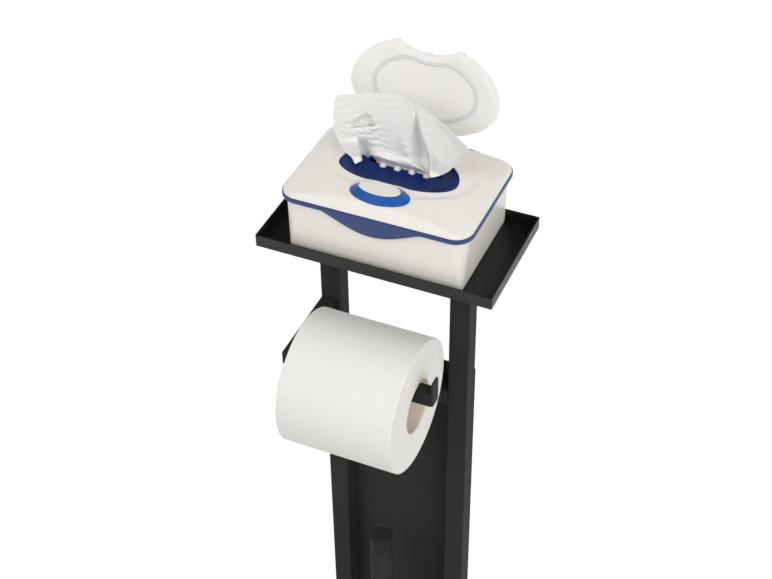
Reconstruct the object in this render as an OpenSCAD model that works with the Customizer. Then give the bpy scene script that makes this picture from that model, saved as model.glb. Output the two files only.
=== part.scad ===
/* [Stand] */
// Width of the top tray, side to side
tray_w = 200; // [180:1:230]
// Play between the tub and the tray's rim, in front and behind
tray_play = 1.35; // [1:0.05:4]
// Height of the tray's folded rim, from its underside
tray_rim = 10.4; // [8:0.2:20]
// Thickness of the tray's steel sheet
sheet_t = 1.5; // [1:0.1:2]
// Place of the tray's middle behind the uprights' centre line
tray_back = 1.3; // [-2:0.1:3]
// Height of the tray's underside above the floor
tray_z = 700; // [660:5:760]
// Outside size of the square uprights
post_w = 17.6; // [16:0.2:20]
// Wall of the square tubes
tube_wall = 1.4; // [1:0.1:2]
// Distance between the centre lines of the two uprights
post_pitch = 115.8; // [112:0.2:125]
// Width and depth of the square base plate
base_w = 200; // [180:1:230]
// Thickness of the base plate
base_t = 4; // [3:0.5:8]
// How far the base plate reaches behind the centre of the uprights
base_back = 68.5; // [68.5:0.5:80]
// Thickness of the soft pads under the base plate
pad_t = 2; // [1:0.5:4]
// Diameter of the soft pads
pad_d = 24; // [16:1:34]

/* [Cross tube and back panel] */
// Drop of the cross tube's top below the tray
cross_drop = 146; // [135:1:170]
// Gap between the square cross tube and the back panel
cross_gap = 1.6; // [0.4:0.2:5]
// Drop of the back panel's top edge below the tray
panel_drop = 129; // [110:1:134]
// Thickness of the back panel
panel_t = 1.5; // [1:0.1:2]

/* [Roll arm] */
// Drop of the arm's top face below the tray
arm_drop = 75.5; // [70:0.5:80]
// Height of the square arm bar
arm_h = 12; // [8:0.5:14]
// Width of the square arm bar
arm_w = 11.5; // [10:0.5:14]
// Reach of the arm in front of the uprights
arm_reach = 77; // [72:1:95]
// How far the arm sits outwards of the left upright's middle
arm_out = 1.5; // [0:0.1:2]
// Reach of the arm past the roll's right end
arm_past = 13.1; // [6:0.1:20]
// Thickness of the stop plate
stop_t = 1.6; // [1:0.1:3]
// Height of the stop plate
stop_h = 24; // [18:0.5:28]

/* [Paper roll] */
// Diameter of the paper roll
roll_d = 112.4; // [90:0.2:120]
// Width of the paper roll
roll_w = 98.8; // [90:0.2:102]
// Inside diameter of the cardboard core
core_d = 45; // [42:0.2:48]
// Wall of the cardboard core
core_wall = 1.2; // [0.8:0.1:2]
// Gap between the arm's forward bar and the roll's left end
roll_gap = 6.25; // [5:0.25:10]

/* [Wipes box] */
// Width of the box over its blue rim
box_w = 159; // [150:1:165]
// Depth of the box over its blue rim
box_d = 110.5; // [108:0.5:114]
// Corner radius of the blue rim
box_r = 15.4; // [13:0.2:20]
// Height of the tub below the blue rim
tub_h = 48.5; // [44:0.5:60]
// How far the tub's walls draw in towards its foot
tub_draft = 2.5; // [1:0.1:4]
// Corner radius of the tub's foot
foot_r = 4; // [3:0.2:8]
// How far the blue rim stands out over the tub
rim_over = 3.6; // [3:0.1:4.4]
// Wall of the moulded parts
wall = 1.8; // [1.4:0.1:2.2]
// Height of the blue rim
rim_h = 4.5; // [4:0.1:6]
// Height of the domed lid above the blue rim
lid_rise = 12.4; // [11.6:0.1:15]
// Radius of the lid's spherical top
dome_r = 382; // [360:2:460]
// Slope of the lid's sides, inwards for each unit upwards
lid_lean = 0.63; // [0.5:0.01:0.7]
// Width of the smile-shaped finger tab under the rim
tab_w = 82; // [60:1:100]
// Depth of the finger tab
tab_drop = 13; // [8:0.5:16]
// Sideways place of the box on the tray
box_x = -1; // [-4:0.5:4]
// Place of the box behind the tray's middle
box_y = 3; // [2:0.5:3.5]

/* [Flap] */
// Distance of the flap's side edges inside the box's sides
flap_side = 17; // [16:0.5:22]
// Distance of the flap's front edge behind the button's middle
flap_edge = 2.3; // [1:0.1:5]
// Distance of the flap's rear edge in front of its hinge axis
flap_heel = 3.3; // [3:0.1:5]
// Place of the flap's widest line behind its middle
flap_shift = 3.6; // [0:0.1:6]
// Thickness of the flap
flap_t = 2; // [1.6:0.1:2.4]
// Angle at which the flap stands open
flap_open = 102; // [90:1:106]
// Distance of the flap's hinge axis in front of the box's rear edge
hinge_edge = 7.75; // [7.45:0.05:9]
// Distance of the sealing ridge inside the well's ends
ridge_in = 5.8; // [4.3:0.1:10]
// Height of the sealing ridge
ridge_h = 2.6; // [1.5:0.1:3]

/* [Dispenser and button] */
// Distance of the kidney-shaped dispenser well inside the flap's side edges
well_side = 13.2; // [11.5:0.1:16]
// Gap between the button and the line of the well's front
well_gap = 0.4; // [0.2:0.1:3]
// Distance of the well in front of the flap's hinge axis
well_heel = 14; // [12.5:0.1:18]
// Depth of the well
well_depth = 9.3; // [7:0.1:11]
// Distance of the slot's ends inside the well's ends
slot_end = 12.4; // [10:0.1:20]
// Number of scallops
scallop_n = 6; // [3:1:6]
// Width of one scallop
scallop_w = 7; // [5:0.1:8]
// Half width of the button at the lid
button_a = 24.3; // [20:0.1:26]
// Half depth of the button at the lid
button_b = 12.6; // [11:0.1:12.8]
// Half width of the button's top
button_top_a = 17; // [14:0.1:18]
// Half depth of the button's top
button_top_b = 8.1; // [6:0.1:9]
// Distance of the button behind the box's front edge
button_edge = 7.35; // [6.8:0.05:9]
// Height of the button above the lid
button_rise = 6; // [4:0.1:7]
// Travel of the button
button_travel = 1.5; // [1:0.1:1.8]

/* [Wipes] */
// Play at each side of the folded wipes in the tub
stack_side = 6.6; // [4:0.1:16]
// Play in front of the folded wipes in the tub, and behind them
stack_play = 4.35; // [2:0.05:12]
// Height of the folded wipes
stack_h = 30; // [10:1:32]
// Height of the drawn wipe above the lid's dome
wipe_rise = 66; // [40:1:80]
// Half width of the drawn wipe
wipe_a = 56; // [40:1:58]
// Thickness of the drawn wipe
wipe_t = 1; // [0.8:0.1:1.2]

/* [Toilet brush] */
// Outside diameter of the brush cup
cup_d = 88; // [80:1:92]
// Height of the brush cup
cup_h = 118; // [100:1:140]
// Wall of the brush cup
cup_wall = 1.2; // [0.8:0.1:2]
// Wall of the plastic liner
liner_wall = 1.4; // [1:0.1:2]
// Gap between the cup and the back panel
cup_gap = 8; // [2:0.1:16]
// Diameter of the brush handle
handle_d = 20.5; // [18:0.5:24]
// Height of the handle's top above the floor
handle_top = 384; // [340:1:420]
// Height of the handle's end cap
handle_cap_h = 17; // [10:0.5:24]
// Gap between the bristle tips and the liner
bristle_gap = 7.2; // [4:0.1:12]
// Length of the bristled head
head_h = 76; // [60:1:84]
// Diameter of the head's core
head_core_d = 20; // [16:0.5:24]
// Bristles in one ring
ring_n = 15; // [12:1:16]
// Rings of bristles
ring_rows = 20; // [16:1:20]

/* [Hidden] */
$fn = 64;

// Clearances and overruns
slip = 0.2;
fit = 0.3;
run_fit = 0.08;
press = 0.02;
over = 1;

// Stand heights and places
base_z = pad_t + base_t;
floor_z = tray_z + sheet_t;
arm_z = tray_z - arm_drop - arm_h;
bar_y = post_w / 2 + arm_reach - arm_w / 2;
roll_front = bar_y + roll_d / 2;
stand_y = (roll_front - base_back) / 2;
post_x = post_pitch / 2;
arm_x = post_x + arm_out;
roll_x = -arm_x + arm_w / 2 + roll_gap + roll_w / 2;
arm_end = roll_x + roll_w / 2 + arm_past;
cross_w = post_w - cross_gap;
post_len = tray_z - base_z;
corner_r = 1.2;
base_r = 6;
tray_r = 1;
pad_inset = 22;
plug_h = 12;
panel_top = tray_z - panel_drop;
panel_w = post_pitch + post_w;
panel_rows = 3;
panel_edge = 16;

// Screws: shank radius, head radius and head height
frame_screw_r = 2.5;
frame_head_r = 4.6;
frame_head_h = 2.4;
panel_screw_r = 1.5;
panel_head_r = 2.9;
panel_head_h = 1.4;
panel_screw_len = 5;
socket_r = 1.5;
socket_share = 0.5;

// The roll hangs with its core on the two top edges of the bar
core_r = core_d / 2;
hang = sqrt(core_r * core_r - arm_w * arm_w / 4);
roll_z = tray_z - arm_drop - hang + fit;

// Wipes box, measured from the middle of its foot on the tray's floor
rim_z = tub_h;
lid_z = rim_z + rim_h;
dome_top = lid_z + lid_rise;
tub_w = box_w - 2 * rim_over;
tub_d = box_d - 2 * rim_over;
tub_r = box_r - rim_over + over;
tray_d = tub_d + 2 * tray_play + 2 * sheet_t;
foot_h = 1.2;
foot_w = 4;
lip_h = 3;
lip_in = 1.5;
lip_gap = 0.6;
lid_in = 0.9;
lid_w = box_w - 2 * lid_in;
lid_d = box_d - 2 * lid_in;
lid_r = box_r - lid_in;
tab_t = 2;
tab_power = 1.15;
tab_steps = 24;

// Height of the lid's sphere at a distance r from the box's middle
function dome_z(r) = dome_top - dome_r + sqrt(dome_r * dome_r - r * r);

// Rear hinge of the lid
lid_pin_r = 1;
lid_knuckle_r = 2.4;
lid_axis_y = box_d / 2 + lid_knuckle_r + fit + slip;
lid_axis_z = rim_z + rim_h / 2;
lid_hinge_x = 35;
lid_knuckle_w = 12;
lid_ear_w = 4;
ear_drop = 5;

// Flap, dish and hinge
button_y = box_d / 2 - button_edge - button_b;
flap_hinge_y = box_d / 2 - hinge_edge;
flap_lead = button_y - flap_edge;
flap_rear = flap_hinge_y - flap_heel;
flap_y = (flap_rear - flap_lead) / 2 + flap_shift;
flap_front = flap_lead + flap_y;
flap_back = flap_rear - flap_y;
flap_a = box_w / 2 - flap_side;
dish_gap = 0.6;
dish_depth = flap_t + 0.2 * flap_t;
flap_axis_up = 0.8;
flap_axis_z = dome_z(flap_hinge_y) + flap_axis_up;
flap_pin_r = 1;
flap_knuckle_r = 2;
flap_knuckle_w = 28;
flap_ear_w = 4;
notch_gap = 3;
notch_rear = 1.4;
ridge_w = 1.4;
ridge_dip = 2.4;
dip_width = 16;
lug_w = 6;
lug_t = 1.2;

// Dispenser well: a trough with round ends
well_a = flap_a - well_side;
well_front = button_y - button_b - well_gap;
well_back = flap_hinge_y - well_heel;
ridge_a = well_a - ridge_in;
well_mid = (well_back - well_front) / 2;
well_half = (well_back + well_front) / 2;
bowl_r = (well_half * well_half + well_depth * well_depth) / (2 * well_depth);
bowl_run = well_a - well_half;
well_rim_z = dome_top - dish_depth - wall;
bowl_z = well_rim_z - well_depth + bowl_r;
well_wall = 1.6;
flange_w = 2.5;
slot_inset = 16.5;
slot_w = 3.5;
scallop_d = 3;
slot_back = well_back - slot_inset;
slot_front = slot_back - slot_w;
slot_tip = slot_front - scallop_d;
slot_a = well_a - slot_end;
scallop_pitch = 2 * slot_a / scallop_n;

// Button, its skirt and the bridge that holds its spring
button_sink = 1.2;
button_z = dome_z(button_y) - button_sink;
button_top = button_z + button_rise;
cap_t = 0.8;
hook_w = 2.2;
hook_h = 1;
hook_top = dome_z(norm([button_a + hook_w, button_y + hook_w])) - wall - slip;
skirt_z = hook_top - hook_h;
skirt_in = 0.2;
skirt_up = 0.1;
bridge_t = 2;
bridge_w = 8;
bridge_gap = 4.5;
bridge_x = button_a + hook_w + bridge_gap;
spring_shut = 6.5;
bridge_z = skirt_z - button_travel - spring_shut - bridge_t;
spring_r = 3.5;
spring_wall = 0.8;

// Wipes
stack_w = tub_w - 2 * wall - 2 * lip_in - 2 * stack_side;
stack_d = tub_d - 2 * wall - 2 * lip_in - 2 * stack_play;
wipe_y = (slot_back + slot_front) / 2;
wipe_bow = 15;
wipe_wave = 1.8;
wipe_waves = 3.5;
wipe_steps = 56;
tail_share = 0.44;

// Brush
cup_y = cup_d / 2 + cup_gap - post_w / 2;
liner_z = base_z + cup_wall + slip;
liner_r = cup_d / 2 - cup_wall - slip;
lip_t = 1.4;
cover_z = base_z + cup_h + lip_t + slip;
cover_t = 2.4;
boss_h = 14;
boss_wall = 3;
handle_z = cover_z + cover_t + slip;
neck_d = 10;
head_z = base_z + cup_wall + liner_wall + 3 * wall;
backing_wall = 1.6;
backing_r = head_core_d / 2 + slip + backing_wall;
brush_d = 2 * (liner_r - liner_wall - bristle_gap);
strand_tip = 0.5;
flare_share = 1.1;

// Rounded rectangle about the origin
module round_rect(w, d, r) {
  square([w, d - 2 * r], center = true);
  square([w - 2 * r, d], center = true);
  for (sx = [-1, 1], sy = [-1, 1]) translate([sx * (w / 2 - r), sy * (d / 2 - r)]) circle(r);
}

// Block with round corners whose walls lean in by lean while rising by h
module lean_block(w, d, h, r, lean) {
  for (sx = [-1, 1], sy = [-1, 1])
    translate([sx * (w / 2 - r), sy * (d / 2 - r), 0]) cylinder(h = h, r1 = r, r2 = r - lean);
  translate([-(w / 2 - r), 0, 0]) rotate([90, 0, 90]) linear_extrude(w - 2 * r)
    polygon([[-d / 2, 0], [d / 2, 0], [d / 2 - lean, h], [-d / 2 + lean, h]]);
  translate([0, d / 2 - r, 0]) rotate([90, 0, 0]) linear_extrude(d - 2 * r)
    polygon([[-w / 2, 0], [w / 2, 0], [w / 2 - lean, h], [-w / 2 + lean, h]]);
}

// Square tube standing on the origin
module square_tube(w, len) {
  linear_extrude(len) difference() {
    round_rect(w, w, corner_r);
    square(w - 2 * tube_wall, center = true);
  }
}

// Screw along +Z with its head's seat at the origin and its shank going up
module screw(shank_r, len, head_r, head_h, sunk = 0) {
  difference() {
    union() {
      translate([0, 0, -head_h]) cylinder(h = head_h, r1 = head_r, r2 = head_r - sunk);
      cylinder(h = len, r = shank_r);
    }
    translate([0, 0, -head_h - over]) cylinder(h = over + head_h * socket_share, r = socket_r, $fn = 6);
  }
}

// Oval with its own reach to the front and to the back
function oval(a, front, back, n = 72) = [for (i = [0:n - 1]) let (t = i * 360 / n)
  [a * cos(t), (sin(t) > 0 ? back : front) * sin(t)]];

// Kidney: an oval whose front is pressed in by dip around the middle
function kidney(a, front, back, dip, n = 72) = [for (p = oval(a, front, back, n))
  [p[0], p[1] < 0 ? p[1] + dip * exp(-pow(p[0] / dip_width, 2)) * -p[1] / front : p[1]]];

// Sphere of the lid's top, lowered by down
module dome(down) {
  translate([0, 0, dome_top - dome_r]) sphere(dome_r - down, $fn = 200);
}

// Outline of the flap, grown by g; its front is cut round the button
module flap_outline(g) {
  difference() {
    translate([0, flap_y]) polygon(oval(flap_a + g, flap_front + g, flap_back + g));
    translate([0, -button_y])
      polygon(oval(button_a + notch_gap - g, button_b + notch_rear - g, button_b + notch_rear - g));
  }
}

// Space over the dish in the lid's top, grown by g and as deep as down
module dish(g, down) {
  difference() {
    linear_extrude(dome_top + over) flap_outline(g);
    dome(down);
  }
}

// Round-ended trough of the well, grown by g
module bowl(g) {
  translate([0, well_mid, bowl_z]) {
    for (sx = [-1, 1]) translate([sx * bowl_run, 0, 0]) sphere(bowl_r + g, $fn = 96);
    rotate([0, 90, 0]) cylinder(h = 2 * bowl_run, r = bowl_r + g, center = true, $fn = 96);
  }
}

// Prism on the kidney of the well, grown by g
module well_prism(g) {
  linear_extrude(dome_top + over)
    polygon(kidney(well_a + g, well_front + g, well_back + g, ridge_dip));
}

// Places a child in the wipes box's own frame
module at_box() {
  translate([box_x, stand_y + tray_back + box_y, floor_z]) children();
}

module base_plate() color("#1c1c1d") {
  translate([0, stand_y + base_back - base_w / 2, pad_t]) difference() {
    linear_extrude(base_t) round_rect(base_w, base_w, base_r);
    for (s = [-1, 1]) translate([s * post_x, base_w / 2 - base_back, 0]) {
      translate([0, 0, -over]) cylinder(h = base_t + 2 * over, r = frame_screw_r + slip);
      translate([0, 0, -over]) cylinder(h = over + frame_head_h + slip, r = frame_head_r + slip);
    }
  }
}

module base_pads() color("#333335") {
  for (sx = [-1, 1], sy = [-1, 1])
    translate([sx * (base_w / 2 - pad_inset),
      stand_y + base_back - base_w / 2 + sy * (base_w / 2 - pad_inset), 0])
      cylinder(h = pad_t, r = pad_d / 2);
}

// Two rows of screw holes through the panel and the rear wall of an upright
module panel_holes(r, len) {
  for (i = [0:panel_rows - 1])
    translate([0, 0, base_z + panel_edge + i * (panel_top - base_z - 2 * panel_edge) / (panel_rows - 1)])
      rotate([-90, 0, 0]) cylinder(h = len, r = r, center = true);
}

module upright(s) {
  translate([s * post_x, stand_y, 0]) difference() {
    translate([0, 0, base_z]) square_tube(post_w, post_len);
    translate([0, post_w / 2, 0]) panel_holes(panel_screw_r + press, 2 * (tube_wall + press));
    if (s < 0) translate([-arm_out, 0, arm_z + arm_h / 2]) rotate([90, 0, 0])
      cylinder(h = post_w + 2 * over, r = frame_screw_r + slip, center = true);
  }
}

module left_upright() color("#1e1e1f") upright(-1);

module right_upright() color("#1e1e1f") upright(1);

module upright_plugs() color("#8a8c8e") {
  for (s = [-1, 1], z = [base_z, tray_z - plug_h]) translate([s * post_x, stand_y, z]) difference() {
    linear_extrude(plug_h) square(post_w - 2 * tube_wall - 2 * press, center = true);
    translate([0, 0, -over]) cylinder(h = plug_h + 2 * over, r = frame_screw_r + press);
  }
}

module base_screws() color("#8a8c8e") {
  for (s = [-1, 1]) translate([s * post_x, stand_y, pad_t + frame_head_h])
    screw(frame_screw_r, base_t - frame_head_h + plug_h - over, frame_head_r, frame_head_h);
}

module cross_tube() color("#1e1e1f") {
  len = post_pitch - post_w;
  translate([-len / 2, stand_y - post_w / 2 + cross_w / 2, tray_z - cross_drop - cross_w / 2])
    rotate([0, 90, 0]) square_tube(cross_w, len);
}

module back_panel() color("#19191a") {
  translate([0, stand_y + post_w / 2, 0]) difference() {
    translate([-panel_w / 2, 0, base_z + slip]) cube([panel_w, panel_t, panel_top - base_z - slip]);
    for (s = [-1, 1]) translate([s * post_x, 0, 0]) panel_holes(panel_screw_r + slip, 4 * panel_t);
  }
}

module panel_screws() color("#2a2a2b") {
  for (s = [-1, 1], i = [0:panel_rows - 1])
    translate([s * post_x, stand_y + post_w / 2 + panel_t,
      base_z + panel_edge + i * (panel_top - base_z - 2 * panel_edge) / (panel_rows - 1)])
      rotate([90, 0, 0]) screw(panel_screw_r, panel_screw_len, panel_head_r, panel_head_h);
}

module tray() color("#161617") {
  translate([0, stand_y + tray_back, tray_z]) difference() {
    linear_extrude(tray_rim) round_rect(tray_w, tray_d, tray_r);
    translate([0, 0, sheet_t]) linear_extrude(tray_rim)
      square([tray_w - 2 * sheet_t, tray_d - 2 * sheet_t], center = true);
    for (s = [-1, 1]) translate([s * post_x, -tray_back, -over]) cylinder(h = sheet_t + 2 * over,
      r1 = frame_head_r - sheet_t - over + 2 * slip, r2 = frame_head_r + over + 2 * slip);
  }
}

module tray_screws() color("#8a8c8e") {
  for (s = [-1, 1]) translate([s * post_x, stand_y, tray_z]) rotate([180, 0, 0])
    screw(frame_screw_r, plug_h - over, frame_head_r, sheet_t - slip, sheet_t - slip);
}

module roll_arm() color("#1e1e1f") {
  back = stand_y - post_w / 2;
  difference() {
    union() {
      translate([-arm_x - arm_w / 2, back - arm_reach, arm_z]) cube([arm_w, arm_reach, arm_h]);
      translate([-arm_x - arm_w / 2, back - arm_reach, arm_z])
        cube([arm_x + arm_w / 2 + arm_end, arm_w, arm_h]);
    }
    translate([-arm_x, back + over, arm_z + arm_h / 2]) rotate([90, 0, 0])
      cylinder(h = plug_h + over, r = frame_screw_r + press);
  }
}

module arm_stop() color("#1e1e1f") {
  translate([arm_end, stand_y - post_w / 2 - arm_reach + arm_w / 2, arm_z + stop_h / 2])
    rotate([90, 0, 90]) linear_extrude(stop_t) round_rect(arm_w, stop_h, stop_t);
}

module arm_screw() color("#2a2a2b") {
  translate([-arm_x, stand_y + post_w / 2, arm_z + arm_h / 2]) rotate([90, 0, 0])
    screw(frame_screw_r, post_w + plug_h - over, frame_head_r, frame_head_h);
}

// Round tube along X, centred on the roll
module roll_tube(outer, inner) {
  translate([roll_x, stand_y - bar_y, roll_z]) rotate([0, 90, 0]) difference() {
    cylinder(h = roll_w, r = outer, center = true, $fn = 128);
    cylinder(h = roll_w + 2 * over, r = inner, center = true, $fn = 128);
  }
}

module roll_core() color("#a39a8c") roll_tube(core_r + core_wall, core_r);

module paper_roll() color("#f1efec") roll_tube(roll_d / 2, core_r + core_wall + press);

// Standing block whose foot is smaller by lean all round and has corners of its own radius
module foot_block(w, d, h, r, foot_r, lean) hull() for (sx = [-1, 1], sy = [-1, 1]) {
  translate([sx * (w / 2 - r), sy * (d / 2 - r), h - slip]) cylinder(h = slip, r = r, $fn = 48);
  translate([sx * (w / 2 - lean - foot_r), sy * (d / 2 - lean - foot_r), 0])
    cylinder(h = slip, r = foot_r, $fn = 48);
}

module tub_ear(x, w) {
  translate([x - w / 2, 0, 0]) {
    translate([0, lid_axis_y, lid_axis_z]) rotate([0, 90, 0]) cylinder(h = w, r = lid_knuckle_r);
    translate([0, tub_d / 2 - wall, rim_z - slip - ear_drop])
      cube([w, lid_axis_y - tub_d / 2 + wall + lid_knuckle_r / 2, ear_drop - slip]);
    translate([0, lid_axis_y - lid_knuckle_r / 2, rim_z - slip - ear_drop])
      cube([w, lid_knuckle_r, ear_drop + rim_h / 2]);
  }
}

module tub() color("#efece6") at_box() difference() {
  union() {
    foot_block(tub_w, tub_d, rim_z - slip, tub_r, foot_r, tub_draft);
    translate([0, 0, rim_z - lip_h]) linear_extrude(2 * lip_h)
      round_rect(tub_w - 2 * lip_in, tub_d - 2 * lip_in, tub_r - lip_in);
    for (s = [-1, 1], t = [-1, 1])
      tub_ear(s * lid_hinge_x + t * (lid_knuckle_w / 2 + fit + lid_ear_w / 2), lid_ear_w);
  }
  translate([0, 0, foot_h + wall]) foot_block(tub_w - 2 * wall - 2 * lip_in,
    tub_d - 2 * wall - 2 * lip_in, tub_h, tub_r - lip_in, foot_r - wall, tub_draft - lip_in);
  translate([0, 0, rim_z - over]) linear_extrude(2 * lip_h)
    round_rect(tub_w - 2 * wall - 2 * lip_in, tub_d - 2 * wall - 2 * lip_in, tub_r - lip_in);
  translate([0, 0, -over]) linear_extrude(over + foot_h)
    round_rect(tub_w - 2 * tub_draft - 2 * foot_w, tub_d - 2 * tub_draft - 2 * foot_w, tub_r - foot_w);
  translate([-box_w / 2, lid_axis_y, lid_axis_z]) rotate([0, 90, 0])
    cylinder(h = box_w, r = lid_pin_r + press);
}

module wipes_stack() color("#f4f3f0") at_box()
  translate([0, 0, foot_h + wall + slip]) linear_extrude(stack_h) round_rect(stack_w, stack_d, tub_r);

// Lower edge of the finger tab: a cosine arch, raised to a power so that its ends run out flat
function tab_depth(x) = tab_drop * pow(max(0, cos(180 * x / tab_w)), tab_power);

module finger_tab() {
  translate([0, -box_d / 2 + tab_t, rim_z + rim_h / 2]) rotate([90, 0, 0]) linear_extrude(tab_t)
    polygon(concat([[tab_w / 2, 0], [-tab_w / 2, 0]],
      [for (i = [0:tab_steps]) let (x = -tab_w / 2 + i * tab_w / tab_steps)
        [x, -rim_h / 2 - tab_depth(x)]]));
}

module lid_rim() color("#33468a") at_box() {
  difference() {
    union() {
      translate([0, 0, rim_z]) linear_extrude(rim_h) round_rect(box_w, box_d, box_r);
      finger_tab();
      for (s = [-1, 1]) translate([s * lid_hinge_x - lid_knuckle_w / 2, 0, 0]) {
        translate([0, lid_axis_y, lid_axis_z]) rotate([0, 90, 0])
          cylinder(h = lid_knuckle_w, r = lid_knuckle_r);
        translate([0, box_d / 2 - wall, rim_z + rim_h / 4])
          cube([lid_knuckle_w, lid_axis_y - box_d / 2 + wall, rim_h / 2]);
      }
    }
    translate([0, 0, rim_z - over]) linear_extrude(rim_h + 2 * over)
      round_rect(tub_w - 2 * lip_in + 2 * lip_gap, tub_d - 2 * lip_in + 2 * lip_gap, tub_r - lip_in + lip_gap);
    translate([-box_w / 2, lid_axis_y, lid_axis_z]) rotate([0, 90, 0])
      cylinder(h = box_w, r = lid_pin_r + run_fit);
  }
}

module lid_hinge_pins() color("#c9c9c6") at_box() {
  len = lid_knuckle_w + 2 * fit + 2 * lid_ear_w;
  for (s = [-1, 1]) translate([s * lid_hinge_x - len / 2, lid_axis_y, lid_axis_z]) rotate([0, 90, 0])
    cylinder(h = len, r = lid_pin_r);
}

// Ear of the flap's hinge on the lid
module flap_ear(x) {
  translate([x - flap_ear_w / 2, flap_hinge_y, flap_axis_z]) {
    rotate([0, 90, 0]) cylinder(h = flap_ear_w, r = flap_knuckle_r);
    translate([0, -flap_knuckle_r, -flap_axis_z + lid_z + lid_rise / 2])
      cube([flap_ear_w, 2 * flap_knuckle_r, flap_axis_z - lid_z - lid_rise / 2]);
  }
}

module lid_shell() color("#f2efe9") at_box() difference() {
  union() {
    difference() {
      intersection() {
        translate([0, 0, lid_z]) lean_block(lid_w, lid_d, lid_rise, lid_r, lid_lean * lid_rise);
        dome(0);
      }
      difference() {
        intersection() {
          translate([0, 0, lid_z - over]) lean_block(lid_w - 2 * wall + 2 * lid_lean * over,
            lid_d - 2 * wall + 2 * lid_lean * over, lid_rise, lid_r - wall + lid_lean * over,
            lid_lean * lid_rise);
          dome(wall);
        }
        dish(wall, dish_depth + wall);
        translate([0, flap_hinge_y, flap_axis_z]) cube([flap_knuckle_w + 4 * flap_ear_w,
          6 * flap_knuckle_r, 6 * flap_knuckle_r], center = true);
      }
      dish(dish_gap, dish_depth);
      translate([0, flap_hinge_y, flap_axis_z]) rotate([0, 90, 0])
        cylinder(h = flap_knuckle_w + 2 * fit, r = flap_knuckle_r + 2 * fit, center = true);
      translate([-flap_knuckle_w / 2 - fit, flap_hinge_y - 3 * flap_knuckle_r,
        flap_axis_z - flap_knuckle_r - 2 * fit])
        cube([flap_knuckle_w + 2 * fit, 3 * flap_knuckle_r, 3 * flap_knuckle_r]);
    }
    for (s = [-1, 1]) flap_ear(s * (flap_knuckle_w / 2 + fit + flap_ear_w / 2));
    for (s = [-1, 1]) intersection() {
      translate([s * bridge_x - wall, -button_y - bridge_w / 2, bridge_z + bridge_t])
        cube([2 * wall, bridge_w, dome_top - bridge_z - bridge_t]);
      dome(wall / 2);
    }
  }
  well_prism(slip);
  translate([0, -button_y, 0]) linear_extrude(dome_top + over)
    polygon(oval(button_a + fit, button_b + fit, button_b + fit));
  translate([-lug_w / 2 - fit, -button_y + button_b - fit, dome_top - dish_depth - wall])
    cube([lug_w + 2 * fit, notch_rear + 2 * fit + over, dish_depth + wall]);
  translate([0, flap_hinge_y, flap_axis_z]) rotate([0, 90, 0])
    cylinder(h = box_w, r = flap_pin_r + press, center = true);
}

// The slot, with its row of scallops along the front edge
module slot() {
  translate([-slot_a, slot_front]) square([2 * slot_a, slot_back - slot_front]);
  for (i = [0:scallop_n - 1]) translate([(i - (scallop_n - 1) / 2) * scallop_pitch, 0]) {
    translate([-scallop_w / 2, slot_tip + scallop_w / 2])
      square([scallop_w, slot_back - slot_tip - scallop_w / 2 - over]);
    translate([0, slot_tip + scallop_w / 2]) circle(scallop_w / 2);
  }
}

module dispenser_well() color("#1d2b5c") at_box() difference() {
  intersection() {
    union() {
      intersection() {
        well_prism(0);
        bowl(well_wall);
      }
      difference() {
        well_prism(flange_w);
        dome(dish_depth + wall + well_wall + press);
      }
    }
    dome(dish_depth + slip);
    union() {
      well_prism(0);
      dome(dish_depth + wall + press);
    }
  }
  intersection() {
    bowl(0);
    well_prism(-well_wall);
  }
  linear_extrude(dome_top) slot();
}

// The flap as it lies when shut
module flap_shut() {
  difference() {
    union() {
      intersection() {
        linear_extrude(dome_top + over) flap_outline(0);
        difference() {
          dome(0);
          dome(flap_t);
        }
      }
      intersection() {
        linear_extrude(dome_top + over) translate([0, well_mid]) difference() {
          polygon(kidney(ridge_a, well_half - 2 * flange_w, well_half - 2 * flange_w, ridge_dip));
          polygon(kidney(ridge_a - ridge_w, well_half - 2 * flange_w - ridge_w,
            well_half - 2 * flange_w - ridge_w, ridge_dip));
        }
        difference() {
          dome(flap_t / 2);
          dome(flap_t + ridge_h);
        }
      }
      translate([-lug_w / 2, -button_y + button_b + fit, dome_top - dish_depth - lug_t])
        cube([lug_w, notch_rear + dish_gap, lug_t + flap_t / 2]);
      translate([0, flap_hinge_y, flap_axis_z]) rotate([0, 90, 0])
        cylinder(h = flap_knuckle_w, r = flap_knuckle_r, center = true);
      translate([-flap_knuckle_w / 2, flap_y + flap_back - 2 * flap_t, flap_axis_z - flap_knuckle_r])
        cube([flap_knuckle_w, flap_hinge_y - flap_y - flap_back + 2 * flap_t, flap_t]);
    }
    translate([0, flap_hinge_y, flap_axis_z]) rotate([0, 90, 0])
      cylinder(h = flap_knuckle_w + 2 * over, r = flap_pin_r + run_fit, center = true);
  }
}

module flap() color("#f3f1ec") at_box()
  translate([0, flap_hinge_y, flap_axis_z]) rotate([-flap_open, 0, 0])
  translate([0, -flap_hinge_y, -flap_axis_z]) flap_shut();

module flap_pin() color("#c9c9c6") at_box()
  translate([0, flap_hinge_y, flap_axis_z]) rotate([0, 90, 0])
    cylinder(h = flap_knuckle_w + 2 * fit + 2 * flap_ear_w, r = flap_pin_r, center = true);

module button() color("#2459a8") at_box() translate([0, -button_y, 0]) {
  translate([0, 0, button_z]) linear_extrude(button_rise - cap_t, slices = 1,
    scale = [button_top_a / button_a, button_top_b / button_b])
    polygon(oval(button_a, button_b, button_b));
  translate([0, 0, skirt_z]) linear_extrude(button_z + skirt_up - skirt_z)
    polygon(oval(button_a - skirt_in, button_b - skirt_in, button_b - skirt_in));
  translate([0, 0, skirt_z]) linear_extrude(hook_h)
    square([2 * button_a + 2 * hook_w, 2 * hook_w], center = true);
}

module button_cap() color("#e9e7e0") at_box()
  translate([0, -button_y, button_top - cap_t]) linear_extrude(cap_t)
    polygon(oval(button_top_a, button_top_b, button_top_b));

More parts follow.
